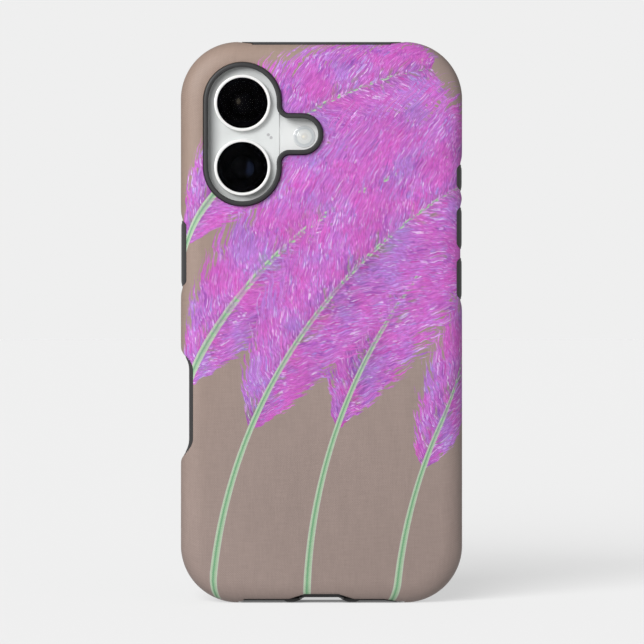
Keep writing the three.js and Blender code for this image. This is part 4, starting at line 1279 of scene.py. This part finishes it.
def contact_rows():
    """A node tree that lays a row of small plates on each face of a tongue, both in one material."""
    tree = bpy.data.node_groups.new("contact_rows", "GeometryNodeTree")
    for label in ("Pitch", "Width", "Length", "Thickness", "Height", "Depth", "Face gap"):
        tree.interface.new_socket(label, in_out="INPUT", socket_type="NodeSocketFloat")
    tree.interface.new_socket("Count", in_out="INPUT", socket_type="NodeSocketInt")
    tree.interface.new_socket("Material", in_out="INPUT", socket_type="NodeSocketMaterial")
    tree.interface.new_socket("Geometry", in_out="OUTPUT", socket_type="NodeSocketGeometry")
    entry, leave = tree.nodes.new("NodeGroupInput"), tree.nodes.new("NodeGroupOutput")
    given = {socket.name: Field(tree, socket) for socket in entry.outputs if socket.name}
    plate = tree.nodes.new("GeometryNodeMeshCube")
    plug(tree, plate.inputs["Size"], vector(tree, given["Width"], given["Thickness"], given["Length"]))
    both = tree.nodes.new("GeometryNodeJoinGeometry")
    for face in (-1, 1):
        row = tree.nodes.new("GeometryNodeMeshLine")
        plug(tree, row.inputs["Count"], given["Count"])
        start = (given["Count"] - 1.0) * given["Pitch"] * -0.5
        depth = given["Depth"] + given["Face gap"] * (0.5 * face)
        plug(tree, row.inputs["Start Location"], vector(tree, start, depth, given["Height"]))
        plug(tree, row.inputs["Offset"], vector(tree, given["Pitch"], 0.0, 0.0))
        copies = tree.nodes.new("GeometryNodeInstanceOnPoints")
        tree.links.new(row.outputs["Mesh"], copies.inputs["Points"])
        tree.links.new(plate.outputs["Mesh"], copies.inputs["Instance"])
        tree.links.new(copies.outputs["Instances"], both.inputs["Geometry"])
    real = tree.nodes.new("GeometryNodeRealizeInstances")
    tree.links.new(both.outputs["Geometry"], real.inputs["Geometry"])
    coat = tree.nodes.new("GeometryNodeSetMaterial")
    tree.links.new(real.outputs["Geometry"], coat.inputs["Geometry"])
    plug(tree, coat.inputs["Material"], given["Material"])
    tree.links.new(coat.outputs["Geometry"], leave.inputs["Geometry"])
    return tree


def socket_contacts():
    """The gold contacts on both faces of the plug socket's tongue."""
    tree = contact_rows()
    contacts = body(bmesh.new(), "contacts")
    modifier = contacts.modifiers.new("rows", "NODES")
    modifier.node_group = tree
    sizes = {
        "Count": CONTACTS.count,
        "Pitch": CONTACTS.pitch * MM,
        "Width": CONTACTS.width * MM,
        "Length": CONTACTS.length * MM,
        "Thickness": CONTACTS.thickness * MM,
        "Height": (BOTTOM_Z + CONTACTS.height) * MM,
        "Depth": (FRONT_Y - KEY_DEPTH) * MM,
        "Face gap": PLUG.tongue_height * MM,
        "Material": GOLD,
    }
    for item in tree.interface.items_tree:
        if item.in_out == "INPUT":
            modifier[item.identifier] = sizes[item.name]
    settle(contacts)
    finish(contacts, "plug_socket_contacts", "steel", GOLD, angle=None)


def camera():
    """At the photograph's viewpoint: square to the back, on the picture's own centre."""
    case_px, centre_px, floor_px = 281.3, 321.5, 602.4
    picture = 644
    distance = 0.80
    scale = case_px / (PHONE.width + 2 * SHELL)
    side_y = (FRONT_Y - (BACK - PHONE.edge)) * MM
    data = bpy.data.cameras.new("photo_view")
    data.sensor_width = 36.0
    data.lens = data.sensor_width * distance / (picture / scale * MM)
    data.clip_start, data.clip_end = 0.05, 60
    view = bpy.data.objects.new("photo_view", data)
    view.location = ((picture / 2 - centre_px) / scale * MM, side_y - distance,
                     (floor_px - picture / 2) / scale * MM)
    view.rotation_euler = (math.radians(90), 0, 0)
    bpy.context.scene.collection.objects.link(view)
    bpy.context.scene.camera = view


def linked(lamp, piece, state, purpose):
    """A collection for light linking, which takes this piece in or leaves it out."""
    group = bpy.data.collections.new(f"{lamp.name}_{purpose}")
    group.objects.link(piece)
    group.collection_objects[0].light_linking.link_state = state
    return group


def aimed(lamp, place_at, target):
    lamp.location = place_at
    lamp.rotation_euler = (Vector(target) - Vector(place_at)).to_track_quat("-Z", "Y").to_euler()
    bpy.context.scene.collection.objects.link(lamp)


def studio():
    scene = bpy.context.scene
    scene.view_settings.view_transform = "Standard"
    pale = 0.863
    floor_mesh = bmesh.new()
    bmesh.ops.create_grid(floor_mesh, x_segments=1, y_segments=1, size=12)
    floor = body(floor_mesh, "floor")
    floor.visible_diffuse = False
    material, tree, shader = new_material("floor_paper", Roughness=1.0, Specular_IOR_Level=0.0,
                                          Emission_Strength=0.565)
    fibre = noise(tree, object_place(tree), 400, 2.0)
    plug(tree, shader.inputs["Base Color"], mixed(tree, fibre, [0.118] * 3, [0.122] * 3))
    x, y, _ = own_place(tree)
    # Painted contact shadow: the floor's glow is dimmed under the case.
    under = (22.5 - x.size()).rising(-1.5, 1.5) * (4.0 - (y - 2.4).size()).rising(-1.0, 1.0)
    plug(tree, shader.inputs["Emission Color"], mixed(tree, under, [1.0] * 3, [0.26] * 3))
    floor.data.materials.append(material)

    world = bpy.data.worlds.new("studio")
    scene.world = world
    world.use_nodes = True
    tree = world.node_tree
    light = tree.nodes["Background"]
    sky = tree.nodes.new("ShaderNodeTexCoord")
    x, y, z = parts(tree, Field(tree, sky.outputs["Generated"]))
    toward = x * -0.4 + y * -0.5 + z * 0.6
    level = toward.rising(-1.0, 1.0) * 0.27 + 0.30
    path = tree.nodes.new("ShaderNodeLightPath")
    seen = Field(tree, path.outputs["Is Camera Ray"])
    strength = level * (1.0 - seen) + seen * pale
    plug(tree, light.inputs["Strength"], strength)
    light.inputs["Color"].default_value = (1.0, 1.0, 1.0, 1.0)

    # A softbox near the upper left lights the case; a lamp for the floor alone throws its shadow.
    softbox = bpy.data.lights.new("softbox", "AREA")
    softbox.energy = 2.1
    softbox.size = 0.26
    key = bpy.data.objects.new("softbox", softbox)
    aimed(key, (-0.29, -0.40, 0.32), (0.0, 0.0, 0.076))
    key.light_linking.receiver_collection = linked(key, floor, "EXCLUDE", "lights")
    spread = bpy.data.lights.new("floor_key", "SUN")
    spread.energy = 18.5
    spread.angle = math.radians(50)
    lamp = bpy.data.objects.new("floor_key", spread)
    aimed(lamp, (-0.43, -0.84, 0.34), (0.0, 0.0, 0.0))
    lamp.light_linking.receiver_collection = linked(lamp, floor, "INCLUDE", "lights")
    return key


# ---- Everything together ----

camera()
softbox_lamp = studio()
printed_shell()
rubber_liner()
camera_rim()
for key_name, key_size in KEYS.items():
    key_pad(key_name, key_size)
aluminium_frame()
camera_control()
softbox_lamp.light_linking.blocker_collection = linked(softbox_lamp, back_panel(), "EXCLUDE", "blockers")
for lens_name, lens_z in LENS.heights.items():
    lens_parts(lens_name, lens_z)
flash_window()
microphone()
front_glass()
plug_socket()
socket_contacts()

CARRIED_OVER = {
    "display_panel": SCREEN, "flash_carrier": BOARD, "logic_board": BOARD, "battery": WRAP,
    "board_shield": STEEL, "haptic_motor": STEEL, "magnet_ring": STEEL, "charging_coil": COPPER,
    "bottom_screw_left": STEEL, "bottom_screw_right": STEEL,
}
for node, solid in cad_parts.items():
    if solid.hide_render:
        continue
    finish_of = CARRIED_OVER.get(node, ALUMINIUM if node.endswith("_cap") else PLASTIC)
    solid.data.materials.clear()
    solid.data.materials.append(finish_of)
